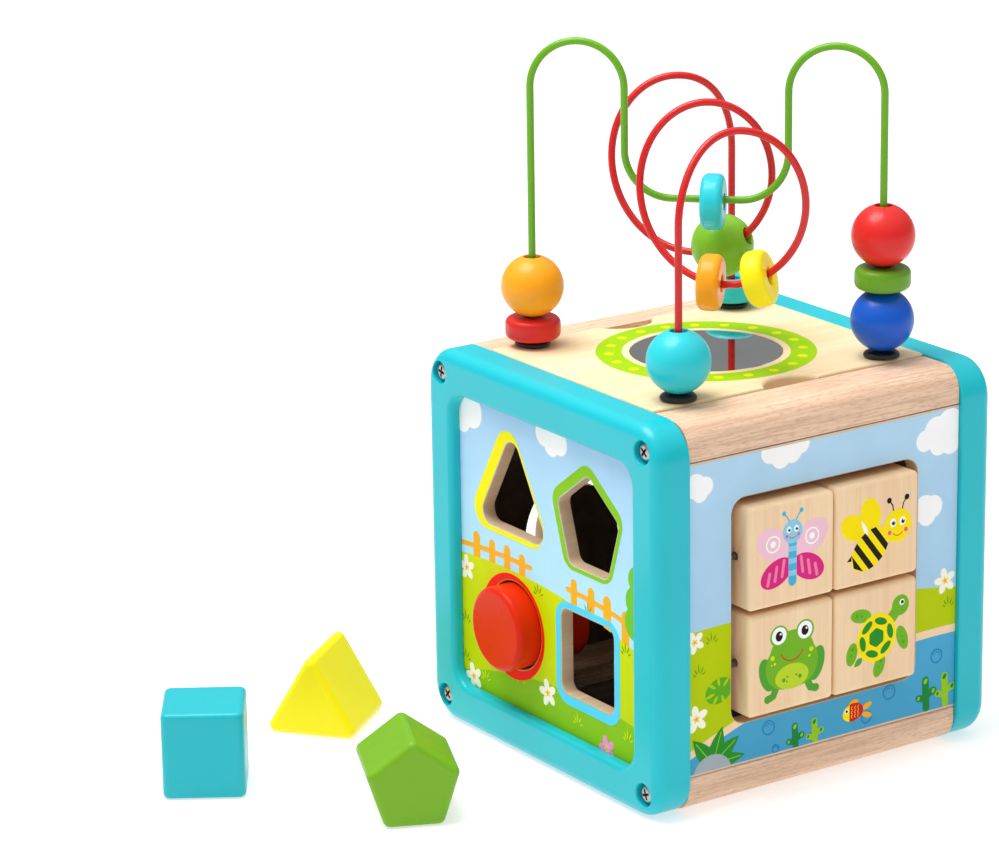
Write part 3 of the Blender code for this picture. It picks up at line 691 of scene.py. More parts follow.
def frame_section():
    """Half size, corner radius and depth behind the face, once round the frame's section."""
    half = CUBE / 2
    window = WINDOW / 2
    section = []
    for inset, depth in arc((FRAME_EDGE, FRAME_EDGE), FRAME_EDGE, 270, 180, 10):
        section.append((half - inset, FRAME_CORNER - inset, depth))
    eased = FRAME_INNER_EDGE
    for inset, rise in arc((eased, eased), eased, 180, 90, 3):
        section.append((half - inset, FRAME_CORNER - inset, FRAME_THICK - 2 * eased + rise))
    rebate = window + REBATE_LIP
    section.append((rebate, WINDOW_CORNER + REBATE_LIP, FRAME_THICK))
    section.append((rebate, WINDOW_CORNER + REBATE_LIP, PANEL_RECESS))
    section.append((window, WINDOW_CORNER, PANEL_RECESS))
    for outset, depth in arc((WINDOW_EDGE, WINDOW_EDGE), WINDOW_EDGE, 180, 270, 6):
        section.append((window + outset, WINDOW_CORNER + outset, depth))
    return section


def counterbores(side, face):
    """Cutter for the screws' counterbores, each with a softly rounded mouth, and their shank bores."""
    bore = SCREW_SHANK_RADIUS + BORE_ROOM
    profile = [(bore, FRAME_THICK + 0.001), (bore, COUNTERBORE_DEPTH)]
    profile.append((COUNTERBORE_RADIUS, COUNTERBORE_DEPTH))
    lip = COUNTERBORE_LIP
    profile += [(COUNTERBORE_RADIUS + u, depth) for u, depth in arc((lip, lip), lip, 180, 270, 5)]
    profile.append((COUNTERBORE_RADIUS + lip, -0.002))
    place = on_face("Y", -side, face)
    bm = bmesh.new()
    for at in screw_places():
        loops = [[place(u, v, depth) for u, v in circle(at, radius, 40)] for radius, depth in profile]
        add_rings(bm, loops)
    return cutter_object("counterbores", bm)


def make_frame(name, side):
    face = side * (FRAME_INNER + FRAME_THICK)
    place = on_face("Y", -side, face)
    bm = bmesh.new()
    loops = []
    for half, corner, depth in frame_section():
        outline = moved(rounded_square(half, corner), (0, CUBE / 2))
        loops.append([place(u, v, depth) for u, v in outline])
    add_rings(bm, loops, closed=True)
    obj = new_object(name + "_shell", bm, [MATS["teal"]])
    cut(obj, counterbores(side, face))
    stands_for(finished(obj), name, "cube")


def make_rails():
    end = RAIL_HIGH.y
    outer, top, bottom = RAIL_HIGH.x, RAIL_HIGH.z, RAIL_LOW.z
    outline = [(LEDGE_INNER, bottom)]
    outline += arc((outer - RAIL_EASED, bottom + RAIL_EASED), RAIL_EASED, -90, 0, 5)
    outline += arc((outer - RAIL_ROUND, top - RAIL_ROUND), RAIL_ROUND, 0, 90, 20)
    outline += [(RAIL_INNER, top), (RAIL_INNER, LEDGE_TOP), (LEDGE_INNER, LEDGE_TOP)]
    for x_name, su in (("right", 1), ("left", -1)):
        for z_name, flip in (("upper", False), ("lower", True)):
            points = [(su * u, CUBE - v if flip else v) for u, v in outline]
            node = f"{z_name}_{x_name}_rail"
            rail = prism(node + "_bar", points, "Y", -end, end, [MATS["beech"]])
            stands_for(finished(rail, 0.0004, 3), node, "cube")


def screw_mesh():
    """A pan-head screw along +Z with its seat at z = 0 and a tapered cross recess, whose walls are painted
    dark steel as painted shade.
    """
    top = SCREW_HEAD_THICK
    radius = SCREW_HEAD_RADIUS
    shank = SCREW_SHANK_RADIUS
    profile = [(0.0004, SCREW_TIP), (shank, SCREW_TIP + SCREW_POINT), (shank, 0.0), (radius - 0.0002, 0.0)]
    for i in range(9):
        a = radians(90 * i / 8)
        profile.append((radius * (0.55 + 0.45 * cos(a)), top * (0.35 + 0.65 * sin(a))))
    profile.append((0.2 * radius, top))
    screw = turned("screw_head", profile, [MATS["steel"], MATS["recess"]], steps=40)
    bm = bmesh.new()
    # slot 1 gives the recess walls the dark steel of painted shade
    for turn, lift in ((0, 0.0), (90, 0.0001)):
        loops = []
        for z, grow in ((0.45 * top, 0.55), (1.3 * top, 1.15)):
            reach = RECESS_HALF_LENGTH * grow
            slot = rectangle(-reach, reach, -RECESS_HALF_WIDTH, RECESS_HALF_WIDTH)
            loops.append([(u, v, z + lift) for u, v in turned_by(turn, (0, 0), slot)])
        add_rings(bm, loops, slot=1)
    cut(screw, cutter_object("screw_recess", bm))
    screw.modifiers["cut"].use_self = True
    finished(screw, 0.00012, 2, 50.0)
    mesh = screw.data
    bpy.data.objects.remove(screw, do_unlink=True)
    return mesh


def make_screws():
    mesh = screw_mesh()
    for frame_name, side in (("front", -1), ("back", 1)):
        for number in range(1, 5):
            node = f"{frame_name}_screw_{number}"
            low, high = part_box(node)
            seat = (low.y if side < 0 else high.y) - side * SCREW_HEAD_THICK
            screw = linked(node + "_turned", mesh)
            at = (low + high) / 2
            at.y = seat
            turn = rotation(-90 * side, "X") @ rotation(17 + 31 * number, "Z")
            screw.matrix_world = Matrix.Translation(at) @ turn
            stands_for(screw, node, "cube")


# ---- panels

def flared(bm, outline_at, place, depth):
    """Adds a hole cutter whose mouth opens by the hole's lip at the panel's face."""
    loops = [[place(u, v, -depth) for u, v in outline_at(0.0)]]
    for outset, sink in arc((HOLE_LIP, HOLE_LIP), HOLE_LIP, 180, 270, 3):
        loops.append([place(u, v, -sink) for u, v in outline_at(outset)])
    loops.append([place(u, v, 0.001) for u, v in outline_at(HOLE_LIP)])
    add_rings(bm, loops)


def face_slots(obj, axis, side, level, inner_level):
    """Gives the outer face slot 0 for the print, the inner face slot 2, wood darkened as painted shade, and
    every edge slot 1.
    """
    index = "XYZ".index(axis)
    for polygon in obj.data.polygons:
        normal = polygon.normal[index] * side
        at = polygon.center[index]
        printed = normal > 0.99 and abs(at - level) < 1e-5
        inner = normal < -0.99 and abs(at - inner_level) < 1e-5
        polygon.material_index = 0 if printed else 2 if inner else 1


def make_panel(node, axis, side, outline, holes, print_name):
    low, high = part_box(node)
    index = "XYZ".index(axis)
    outer, inner = (high[index], low[index]) if side > 0 else (low[index], high[index])
    # slot 2 is the inner face's wood, darkened as painted shade
    mats = [MATS[print_name], MATS["board"], MATS["inside"]]
    panel = prism(node + "_board", outline, axis, inner, outer, mats)
    if holes:
        bm = bmesh.new()
        for outline_at in holes:
            flared(bm, outline_at, on_face(axis, side, outer), abs(outer - inner) + 0.002)
        cut(panel, cutter_object(node + "_holes", bm))
    finished(panel)
    face_slots(panel, axis, side, outer, inner)
    stands_for(panel, node, "cube")
    return on_face(axis, side, outer)


def track_outline(outset):
    """Outline of the slot: a leg, an arch, a trough and a leg."""
    half = TRACK_HALF_WIDTH + outset
    z = TRACK_CENTRE_Z
    arch, trough = (TRACK_ARCH_Y, z), (TRACK_TROUGH_Y, z)
    outline = arc(arch, TRACK_ARCH_RADIUS + half, 180, 0, 40)
    outline += arc(trough, TRACK_TROUGH_RADIUS - half, 180, 360, 32)
    outline += arc((TRACK_TROUGH_Y + TRACK_TROUGH_RADIUS, z + TRACK_LEG), half, 180, 0, 16)
    outline += arc(trough, TRACK_TROUGH_RADIUS + half, 360, 180, 40)
    outline += arc(arch, TRACK_ARCH_RADIUS - half, 0, 180, 32)
    outline += arc((TRACK_ARCH_Y - TRACK_ARCH_RADIUS, z - TRACK_LEG), half, 360, 180, 16)
    return outline


def make_panels():
    corner = WINDOW_CORNER + REBATE_LIP
    framed = moved(rounded_square(PANEL_HALF, corner), (0, CUBE / 2))
    low, high = PUZZLE_LOW, PUZZLE_HIGH
    side = rectangle(low.y, high.y, low.z, high.z)
    half = PUZZLE_WINDOW / 2

    def window(outset):
        return moved(rounded_square(half + outset, PUZZLE_WINDOW_CORNER + outset), (0, PUZZLE_CENTRE_Z))

    return {
        "sorter": make_panel("sorter_panel", "Y", -1, framed, list(HOLES.values()), "sorter"),
        "back": make_panel("back_panel", "Y", 1, framed, [], "back"),
        "puzzle": make_panel("puzzle_panel", "X", 1, side, [window], "puzzle"),
        "track": make_panel("track_panel", "X", -1, side, [track_outline], "track"),
    }


# ---- printed motifs

# Where the scenery is printed, in millimetres: low and high across, low and high upright
FRAMED = (-80.5, 80.5, 19.5, 180.5)
SIDE_REACH = PUZZLE_HIGH.y / MM - 0.1
SIDE_PRINT = (-SIDE_REACH, SIDE_REACH, PUZZLE_LOW.z / MM + 1.1, PUZZLE_HIGH.z / MM - 1.1)


class Art:
    """Printed motifs on one face, in millimetres; each shape lies a hair over the one before it."""
    SUNK = 0.02 * MM
    FIRST = 0.03 * MM
    STEP = 0.0015 * MM

    def __init__(self, name, place, at=(0, 0), limits=None, first=0):
        self.name = name
        self.place = place
        self.at = at
        self.limits = limits
        self.bm = bmesh.new()
        self.inks = []
        self.count = first

    def _layer(self, ink_name, outlines, closed=False):
        """Adds one shape as rings; the first and, in a closed shape, the last lie under the face."""
        top = self.FIRST + self.STEP * self.count
        self.count += 1
        if ink_name not in self.inks:
            self.inks.append(ink_name)
        loops = []
        for outline, height in zip(outlines, (-self.SUNK, top, top, -self.SUNK)):
            loops.append([self.place(u * MM, v * MM, height) for u, v in moved(outline, self.at)])
        add_rings(self.bm, loops, closed, slot=self.inks.index(ink_name))

    def fill(self, ink_name, outline):
        if self.limits:
            outline = clipped(outline, self.limits)
        if len(outline) > 2:
            self._layer(ink_name, (outline, outline))

    def band(self, ink_name, outer, inner):
        """A ring between two outlines with the same number of points."""
        self._layer(ink_name, (outer, outer, inner, inner), closed=True)

    def dot(self, ink_name, *shape):
        self.fill(ink_name, circle(*shape))

    def oval(self, ink_name, *shape):
        self.fill(ink_name, oval(*shape))

    def line(self, ink_name, points, width):
        self.fill(ink_name, stroke(points, width))

    def done(self, body):
        obj = new_object(self.name, self.bm, [INKS[i] for i in self.inks], smooth=False)
        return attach(obj, body)


def flower(art, at, size, turn=0, petals="cream"):
    turns = [90 + turn + 72 * k for k in range(5)]
    for a in turns:
        art.oval(petals, polar(at, 0.56 * size, a), 0.45 * size, 0.29 * size, a, 24)
    for a in turns:
        art.fill("centre", leaf(at, polar(at, 0.36 * size, a), 0.16 * size, 5))
    art.dot("core", at, 0.11 * size, 14)


def tuft(art, at, size, colour="grass"):
    """Five thin blades of grass, the middle one longest."""
    for turn, reach in ((32, 0.75), (64, 1), (94, 1.15), (122, 0.95), (152, 0.7)):
        blade = leaf(polar(at, 0.32 * size, turn), polar(at, reach * size, turn), 0.12 * size, 5)
        art.fill(colour, blade)


def cloud(art, circles):
    """A white cloud with a slightly darker rim on its lower side."""
    art.fill("cloud_edge", puffs([(u + 0.2, v - 0.5, r) for u, v, r in circles]))
    art.fill("white", puffs(circles))


def fence(art, pickets, rail, hill):
    """Pickets as (middle, top, half width), cut off at the hill; the rail is a line of points."""
    for middle, top, half in pickets:
        head = arc((middle, top - half), half, 0, 180, 10)
        left, right = middle - half, middle + half
        art.fill("fence", [(right, hill(right))] + head + [(left, hill(left))])
    art.line("fence", rail, 2.7)


def hill_line(print_name, drop):
    """Returns the line of a printed board's first hill, lowered by a drop, as v for a given u."""
    crest, at, fall = PRINTS[print_name][2][0][:3]
    return lambda u: crest - fall * (u - at) ** 2 - drop


def hole_outline(hole_name, outset, shift=(0, 0)):
    """A hole's outline in millimetres, made larger by an outset in metres."""
    return moved(in_mm(HOLES[hole_name](outset)), shift)


def print_sorter(place):
    art = Art("sorter_scenery", place, limits=FRAMED)
    cloud(art, ((-75.5, 164, 6.5), (-67, 170.5, 9), (-74, 177, 11)))
    cloud(art, ((-3.5, 174, 6.6), (3.5, 170.8, 7), (10.6, 172.2, 6.4), (4, 178, 9)))
    hill = hill_line("sorter", 0.2)
    left = ((-64.4, 106.9, 3.1), (-50.4, 106.2, 2.8), (-36.9, 106.7, 2.8), (-23.6, 105.4, 2.8))
    fence(art, left, ((-79, 97.8), (-56, 99.6), (-36, 100.3), (-16, 100.2)), hill)
    right = ((21.6, 104.6, 2.7), (36.3, 104.2, 2.7), (49.8, 103.5, 3.3), (65, 99.8, 3.1))
    fence(art, right, ((16, 98.1), (30, 97.6), (43, 96.7), (57, 95.4), (70, 92.6)), hill)
    for u, v, radius in ((74.5, 118, 7), (73.5, 106.5, 8.2), (73.5, 95.5, 9)):
        art.dot("bush", (u, v), radius)
    for at in ((-9.5, 86.6), (33.8, 88.6), (65.2, 76.5), (-75.5, 54), (-76, 33)):
        tuft(art, at, 6.8)
    for at in ((-26, 35), (24, 27.5), (66.6, 32), (-58, 27)):
        tuft(art, at, 6.8, "straw")
    for at, size, turn in (((-73.8, 85), 6.8, 8), ((-69, 26.8), 7.4, 20), ((-2, 37.6), 7.4, 14)):
        flower(art, at, size, turn)
    flower(art, (49, 23.6), 6.8, 20, "pink")
    art.done("cube")

    rims = Art("sorter_outlines", place, first=60)
    outer = {
        "yellow": ("triangle", hole_outline("triangle", 4.25 * MM, (-3.3, 1))),
        "green": ("pentagon", hole_outline("pentagon", 4.3 * MM, (-0.6, 1.6))),
        "red": ("circle", circle((-32.4, 64.4), 28, 72)),
        "blue": ("square", hole_outline("square", 4.9 * MM, (0.2, -0.8))),
    }
    for colour, (hole_name, outline) in outer.items():
        rims.band("outline_" + colour, outline, hole_outline(hole_name, PRINT_EDGE))
    rims.done("cube")


def split_leaf(art, at):
    """A round leaf, cut off at its right side, with slits running inwards from its rim."""
    u, v = at
    art.fill("leaf", clipped(oval(at, 8.4, 6.4, 18, 40), (u - 24, u + 6.8, v - 20, v + 20)))
    for turn in (50, 95, 140, 200, 245, 290):
        a = radians(turn)
        near = (u + 0.6 + 3.2 * cos(a), v - 0.2 + 2.4 * sin(a))
        far = (u + 9.6 * cos(a), v + 8 * sin(a))
        art.fill("hill", leaf(near, far, 1.7, 5))


def weed(art, at, tall, colour, spot):
    """A water plant: a stem with three round arms."""
    u, v = at
    art.line(colour, [(u + 0.8, v - 0.42 * tall), (u + 0.3, v), (u, v + 0.42 * tall)], 0.24 * tall)
    art.line(colour, [(u - 0.25 * tall, v - 0.08 * tall), (u, v - 0.14 * tall)], 0.2 * tall)
    art.line(colour, [(u + 0.3 * tall, v + 0.06 * tall), (u, v - 0.05 * tall)], 0.22 * tall)
    for du, dv, size in ((0, 0.4, 0.075), (-0.25, -0.08, 0.05), (0.29, 0.06, 0.06)):
        art.oval(spot, (u + du * tall, v + dv * tall), size * tall * 1.2, size * tall * 0.85, 60, 16)


def fish(art, at):
    u, v = at
    for du, dv, turn in ((9, 1.6, 20), (9, -3.2, -20)):
        art.oval("fence", (u + du, v + dv), 3.2, 1.5, turn, 20)
    art.oval("fence", (u + 0.5, v + 5.2), 3, 1.4, 10, 20)
    art.oval("scarlet", (u, v), 6.6, 4.8, 6)
    art.fill("lemon", clipped(oval((u, v), 6.6, 4.8, 6), (u - 8, u - 2.2, v - 8, v + 8)))
    for row in range(3):
        for column in range(3):
            middle = (u - 0.2 + 2 * column, v - 2.2 + 2.2 * row)
            art.line("lemon", arc(middle, 0.8, 100, 250, 6), 0.28)
    art.dot("white", (u - 4, v + 1.2), 1.25, 18)
    art.dot("coal", (u - 4, v + 1.2), 0.75, 14)


def bare_edges(name, place):
    """Strips of bare board above and below a side panel's print."""
    low_u, high_u, low_v, high_v = SIDE_PRINT
    art = Art(name, place)
    art.fill("bare", rectangle(low_u, high_u, PUZZLE_LOW.z / MM + 0.15, low_v))
    art.fill("bare", rectangle(low_u, high_u, high_v, PUZZLE_HIGH.z / MM - 0.15))
    art.done("cube")


def print_puzzle(place):
    bare_edges("puzzle_edges", place)
    art = Art("puzzle_scenery", place, limits=SIDE_PRINT)
    cloud(art, ((-80, 168.5, 6.2), (-74, 167.5, 4.8), (-77, 164.2, 4.4)))
    cloud(art, ((-34.5, 177, 5.6), (-28, 173.6, 5.8), (-21, 175.2, 5.8), (-15.5, 178.2, 5),
                (-26, 180, 8)))
    cloud(art, ((62.5, 165, 5.6), (69.5, 169, 7.4), (78.5, 170.5, 8.6), (71.5, 162, 6),
                (79, 162, 6.6)))
    beside = Art("puzzle_side_cloud", place, limits=(58.7, *SIDE_PRINT[1:]))
    cloud(beside, ((63, 129.5, 7.2), (68.5, 129.8, 5.8), (64.5, 126, 5.6)))
    beside.done("cube")
    for at in ((-70, 86), (-77.6, 70.8), (79.4, 73.8)):
        tuft(art, at, 6.2)
    split_leaf(art, (-65.6, 61.4))
    for at, size, turn in (((-79.4, 49.6), 7.2, 10), ((-80.4, 89.4), 6, 25), ((77, 88.8), 7, 12)):
        flower(art, at, size, turn)
    bubbles = (((-35, 35.2), 4.3), ((-30.6, 23.2), 2.4), ((72.2, 49.6), 4.2), ((41.6, 36.8), 4.4),
               ((27, 26.8), 3.6))
    for at, radius in bubbles:
        art.line("ripple", arc(at, 0.84 * radius, 0, 352, 30), 0.7)
        art.line("ripple", arc(at, 0.52 * radius, 20, 150, 12), 0.4)
    base = (-69.5, 24)
    leaves = (((-81.5, 39), 8.5), ((-63.6, 42.4), 8.5), ((-53.4, 35.4), 8), ((-49.8, 25), 7))
    for tip, width in leaves:
        art.fill("dark_leaf", leaf(base, tip, width))
        far = tuple(0.85 * t + 0.15 * b for t, b in zip(tip, base))
        art.line("vein", [base, far], 0.5)
    art.oval("stone", (-69.8, 18), 12, 11.2)
    for left, right, v, tall in ((-18.6, -6.4, 26, 15), (65.2, 77.6, 30.4, 17.6)):
        weed(art, (left, v), tall, "weed", "vein")
        weed(art, (right, v), tall, "weed_light", "weed")
    fish(art, (18.2, 31.4))
    art.done("cube")


def print_back(place):
    art = Art("back_scenery", place, limits=FRAMED)
    sun = (48, 148)
    for k in range(12):
        art.line("fence", [polar(sun, 15.5, 30 * k), polar(sun, 23, 30 * k)], 2.6)
    art.dot("lemon", sun, 13, 48)
    cloud(art, ((-60, 150, 8), (-49, 154, 10), (-38, 150, 7.5)))
    cloud(art, ((-8, 166, 6), (1, 169, 8), (10, 166, 6.5)))
    art.fill("fence", [(-38, 40), (-32, 40), (-32.5, 76), (-37.5, 76)])
    crown = ((-35, 96, 15), (-48, 84, 12), (-22, 84, 12), (-35, 80, 12))
    art.fill("bush", puffs(crown))
    for at in ((-42, 92), (-28, 96), (-24, 82), (-44, 80), (-34, 84)):
        art.dot("scarlet", at, 2.6, 20)
    tops = hill_line("back", -16)
    pickets = [(u, tops(u), 2.9) for u in (4, 18, 32, 46, 60, 74)]
    middles = hill_line("back", -9.5)
    rail = [(u, middles(u)) for u in (-2, 14, 30, 46, 62, 79)]
    fence(art, pickets, rail, hill_line("back", 0.2))
    for at in ((-66, 34), (22, 60), (62, 50), (-2, 34)):
        tuft(art, at, 5)
    flowers = ((-60, 52, -60, "cream"), (8, 46, 8, "pink"), (40, 70, 40, "cream"),
               (66, 32, 66, "cream"), (30, 28, 12, "pink"))
    for u, v, turn, colour in flowers:
        flower(art, (u, v), 7.4, turn, colour)
    art.done("cube")


def print_track(place):
    bare_edges("track_edges", place)
    art = Art("track_scenery", place, limits=SIDE_PRINT)
    cloud(art, ((-52, 158, 7), (-42, 161.5, 9), (-32, 158, 7)))
    cloud(art, ((44, 150, 7.5), (54, 153.5, 9.5), (65, 150, 7)))
    for at in ((-74, 50), (10, 50), (66, 42), (-20, 28)):
        tuft(art, at, 5)
    flowers = (((-68, 32), 7.4, 12, "cream"), ((-2, 40), 7.4, 30, "pink"),
               ((36, 36), 7.4, 50, "cream"), ((72, 60), 6.6, 5, "cream"))
    for at, size, turn, colour in flowers:
        flower(art, at, size, turn, colour)
    art.done("cube")
    rim = Art("track_outline", place, first=50)
    rim.band("outline_yellow", in_mm(track_outline(4.4 * MM)), in_mm(track_outline(PRINT_EDGE)))
    rim.done("cube")


# ---- turning blocks and their pictures

def face_marks(art, eyes, size, cheeks, mouth):
    """Eyes, cheeks and a smile."""
    for u, v in eyes:
        art.oval("white", (u, v), 1.15 * size, 0.95 * size, 90, 20)
        art.dot("coal", (u + 0.15 * size, v - 0.1 * size), 0.55 * size, 18)
        art.dot("white", (u + 0.3 * size, v + 0.2 * size), 0.16 * size, 10)
    for at in cheeks:
        art.dot("cheek", at, 0.62 * size, 18)
    centre, radius = mouth
    art.line("mouth", arc(centre, radius, 215, 325, 12), 0.45)


def butterfly(art):
    for side in (-1, 1):
        art.oval("wing_pink", (11.5 * side, 5.5), 11.5, 8, 34 * side)
        art.line("white", arc((12 * side, 6), 4, 0, 350, 24), 0.8)
        art.dot("white", (12 * side, 6), 1.7, 20)
        art.oval("magenta", (9.8 * side, -9.2), 10.4, 6.6, -26 * side)
        for k in range(3):
            u, v = 5.8 + 4.4 * k, -7.4 - 2.1 * k
            reach = 0.62 * (5.6 - 0.9 * k) + 0.5
            art.line("rose", [((u - 0.6) * side, v + reach), ((u + 0.6) * side, v - reach)], 1.7)
        art.line("body_blue", [(1.4 * side, 14.5), (3.2 * side, 18), (5.2 * side, 20.2)], 0.7)
        art.dot("body_blue", (5.4 * side, 20.4), 1.2, 16)
    art.line("body_blue", [(0, 5), (0, -4), (0, -15)], 5)
    for v in (1.6, -4.6, -10.8):
        art.fill("sky_blue", rectangle(-2.5, 2.5, v - 1.4, v + 1.4))
    art.dot("sky_blue", (0, 10.4), 6)
    face_marks(art, ((-2.3, 11.6), (2.3, 11.6)), 1.5, ((-3.6, 8.4), (3.6, 8.4)), ((0, 9.6), 2.6))


def bee(art):
    art.oval("lemon", (-15, 4.5), 8.6, 6.4, 150)
    art.oval("lemon", (-4.5, 9), 9.2, 6.4, 100)
    art.fill("coal", [(-15.6, -12.6), (-19.4, -12.4), (-15.8, -9.2)])
    turn = 38
    middle = (-4.6, -8.4)
    long, wide = 13.2, 9.2
    art.oval("lemon", middle, long, wide, turn)
    for across in (-11.6, -5.4, 1.4, 7.8):
        points = []
        for w in (across - 1.6, across + 1.6):
            reach = wide * sqrt(max(0, 1 - (w / long) ** 2))
            ends = [(w, -reach), (w, reach)]
            points += ends if w < across else ends[::-1]
        art.fill("coal", turned_by(turn, middle, points))
    art.fill("white", leaf((-6.2, -1), (-10.4, 7.4), 2.2))
    for side in (-1, 1):
        root = (12.8 + 2.6 * side, 7.6)
        tip = (12.8 + 5.6 * side, 14.4)
        art.line("coal", [root, (root[0] + 0.8 * side, 11.6), tip], 0.7)
        art.dot("coal", tip, 1.5, 18)
    art.dot("lemon", (12.8, 0.6), 8.6, 40)
    face_marks(art, ((9.8, 2.4), (15.8, 2.4)), 2, ((7.6, -2.4), (18, -2.4)), ((12.8, -1), 3.6))


def frog(art):
    for side in (-1, 1):
        art.oval("limb", (15.4 * side, -5.6), 9, 4.6, 90 - 16 * side)
        art.line("limb", [(9 * side, -12), (11.6 * side, -17.4), (15 * side, -18.4)], 4.2)
    art.fill("frog", puffs(((0, 0.6, 14.2), (-4, -3, 12.2), (4, -3, 12.2)), 96))
    art.oval("belly", (0, -9.2), 10.4, 6.6)
    spots = ((-5, -10.4, 1.1), (-2.8, -9, 0.6), (-3.2, -11.4, 0.5), (5, -10.2, 1.1), (2.8, -9, 0.6))
    for u, v, r in spots:
        art.dot("limb", (u, v), r, 14)
    marks = ((-12, 2.4, 1.3), (-10.6, -0.8, 0.8), (-12.6, -1.2, 0.5), (12, 2.4, 1.3), (10.8, -0.8, 0.8))
    for u, v, r in marks:
        art.dot("straw", (u, v), r, 14)
    for side in (-1, 1):
        art.dot("frog", (8 * side, 13), 5.6)
        art.dot("white", (8 * side, 13.2), 4.5)
        art.oval("coal", (8 * side, 13), 2.6, 2.2, 90, 24)
        art.dot("white", (8 * side + 0.9, 14), 0.6, 12)
    art.line("mouth", arc((0, 6.4), 7.4, 205, 335, 20), 0.7)


def turtle(art):
    for at, long, wide, turn in (((-10, 12.6), 6.6, 3.6, 170), ((16.6, -4), 6.8, 3.4, 290),
                                 ((-15.6, -6.4), 6, 3.4, 78), ((2, -16), 6, 3.4, 68)):
        art.oval("frog", at, long, wide, turn)
        art.dot("limb", polar(at, 2.6, turn), 1, 14)
        art.dot("limb", polar(at, -0.6, turn), 0.7, 14)
    art.fill("limb", leaf((-9, -9.6), (-14, -13.4), 3.6))
    art.line("frog", [(8.4, 6.4), (12.6, 11)], 6.4)
    art.dot("frog", (15.2, 13.4), 5.4)
    art.dot("white", (16.2, 14.8), 1.6, 18)
    art.dot("coal", (16.4, 14.8), 0.95, 16)
    art.line("limb", arc((17.6, 12.2), 2.2, 215, 300, 8), 0.5)
    art.oval("lemon", (0, -0.6), 12.8, 12.2, 40, 56)
    for k in range(6):
        a = radians(60 * k + 12)
        at = (8.9 * cos(a), -0.6 + 8.5 * sin(a))
        art.oval("dark_leaf", at, 4.1, 1.9, 60 * k + 102, 24)
    art.fill("dark_leaf", moved(rounded_regular(6, 5.2, 1.4, 4), (0, -0.6)))


PICTURES = {"upper_left": butterfly, "upper_right": bee, "lower_left": frog, "lower_right": turtle}


def make_blocks():
    """The four turning blocks; each bore is cut after the edges are rounded, so it stays sharp."""
    for place_name, draw in PICTURES.items():
        node = place_name + "_block"
        low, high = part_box(node)
        face = high.x - PICTURE_ROOM
        outline = rectangle(low.x, face, low.y, high.y)
        block = finished(prism(node + "_wood", outline, "Z", low.z, high.z, [MATS["block"]]), BLOCK_EDGE, 6)
        middle = (low + high) / 2
        round_rod = circle((middle.x, middle.z), ROD_RADIUS, 24)
        cut(block, prism(node + "_bore", round_rod, "Y", low.y - PAST, high.y + PAST, []))
        stands_for(finished(block), node, node)
        art = Art(node + "_picture", on_face("X", 1, face), (middle.y / MM, middle.z / MM))
        draw(art)
        art.done(node)


# ---- sliders

def make_knob(name, colour):
    """A domed knob on a stem that passes through the side panel."""
    low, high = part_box(name + "_knob")
    height = -PUZZLE_HIGH.x - low.x
    inner = high.x + PUZZLE_HIGH.x
    profile = [(0.0006, -inner), (STEM_RADIUS - 0.0002, -inner), (STEM_RADIUS, -inner + 0.0002)]
    profile += [(STEM_RADIUS, KNOB_GAP), (KNOB_RADIUS - 0.0008, KNOB_GAP)]
    rim = KNOB_GAP + 0.0008
    for i in range(15):
        a = radians(90 * i / 14)
        reach = KNOB_RADIUS * cos(a) ** 0.6 if i < 14 else 0.0008
        profile.append((reach, rim + (height - rim) * sin(a)))
    knob = turned(name + "_knob_turned", profile, [MATS[colour]])
    at = (low + high) / 2
    at.x = -PUZZLE_HIGH.x
    knob.matrix_world = Matrix.Translation(at) @ rotation(-90, "Y")
    stands_for(knob, name + "_knob", name + "_slider")


def make_retainer(name):
    """The plain disc on the stem's inner end."""
    low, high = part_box(name + "_retainer")
    radius = (high.y - low.y) / 2
    thick = high.x - low.x
    ring = [(0.2 * radius, 0.0), (radius - 0.0004, 0.0), (radius, 0.0004), (radius, thick - 0.001)]
    ring += [(radius - 0.0003, thick - 0.0003), (radius - 0.001, thick), (0.2 * radius, thick)]
    retainer = turned(name + "_retainer_turned", ring, [MATS["block"]])
    at = (low + high) / 2
    at.x = low.x
    retainer.matrix_world = Matrix.Translation(at) @ rotation(90, "Y")
    stands_for(retainer, name + "_retainer", name + "_slider")


def make_sliders():
    for name, colour in (("arch", "red"), ("trough", "yellow")):
        make_knob(name, colour)
        make_retainer(name)


# ---- lid

def lid_cutter():
    """The lid's two finger scoops, whose mouths roll over into its top, wire bores and mirror pocket."""
    bm = bmesh.new()
    lip = SCOOP_LIP
    throat = SCOOP_RADIUS - 0.4 * lip
    section = [(throat, LID_LOW.z - PAST), (throat, LID_LOW.z + 0.002)]
    section += [(throat + outset, LID_TOP - depth) for outset, depth in arc((lip, lip), lip, 180, 270, 7)]
    section.append((SCOOP_RADIUS + 0.6 * lip, LID_TOP + PAST))
    for side in (-1, 1):
        at = (side * (LID_HIGH.x + SCOOP_RADIUS - SCOOP_DEPTH), 0)
        add_rings(bm, [ring(at, radius, z, 96) for radius, z in section])
    for su in (-1, 1):
        for sv in (-1, 1):
            bore = circle((su * FOOT_X, sv * FOOT_Y), WIRE_HOLE, 24)
            add_prism(bm, bore, "Z", LID_LOW.z - PAST, LID_TOP + PAST)
    pocket = circle((0, 0), MIRROR_RADIUS + BORE_ROOM, 96)
    add_prism(bm, pocket, "Z", MIRROR_LOW.z - BORE_ROOM, LID_TOP + PAST)
    return cutter_object("lid_scoops", bm)


def make_lid():
    outline = rectangle(LID_LOW.x, LID_HIGH.x, LID_LOW.y, LID_HIGH.y)
    board = prism("lid_board", outline, "Z", LID_LOW.z, LID_HIGH.z, [MATS["lid"]])
    lid = finished(board, LID_EDGE, 5)
    cut(lid, lid_cutter())
    stands_for(finished(lid), "lid", "lid")
    make_mirror()
    print_lid()
    for name in ("front_left", "back_left", "front_right", "back_right"):
        foot(name + "_wire_foot")


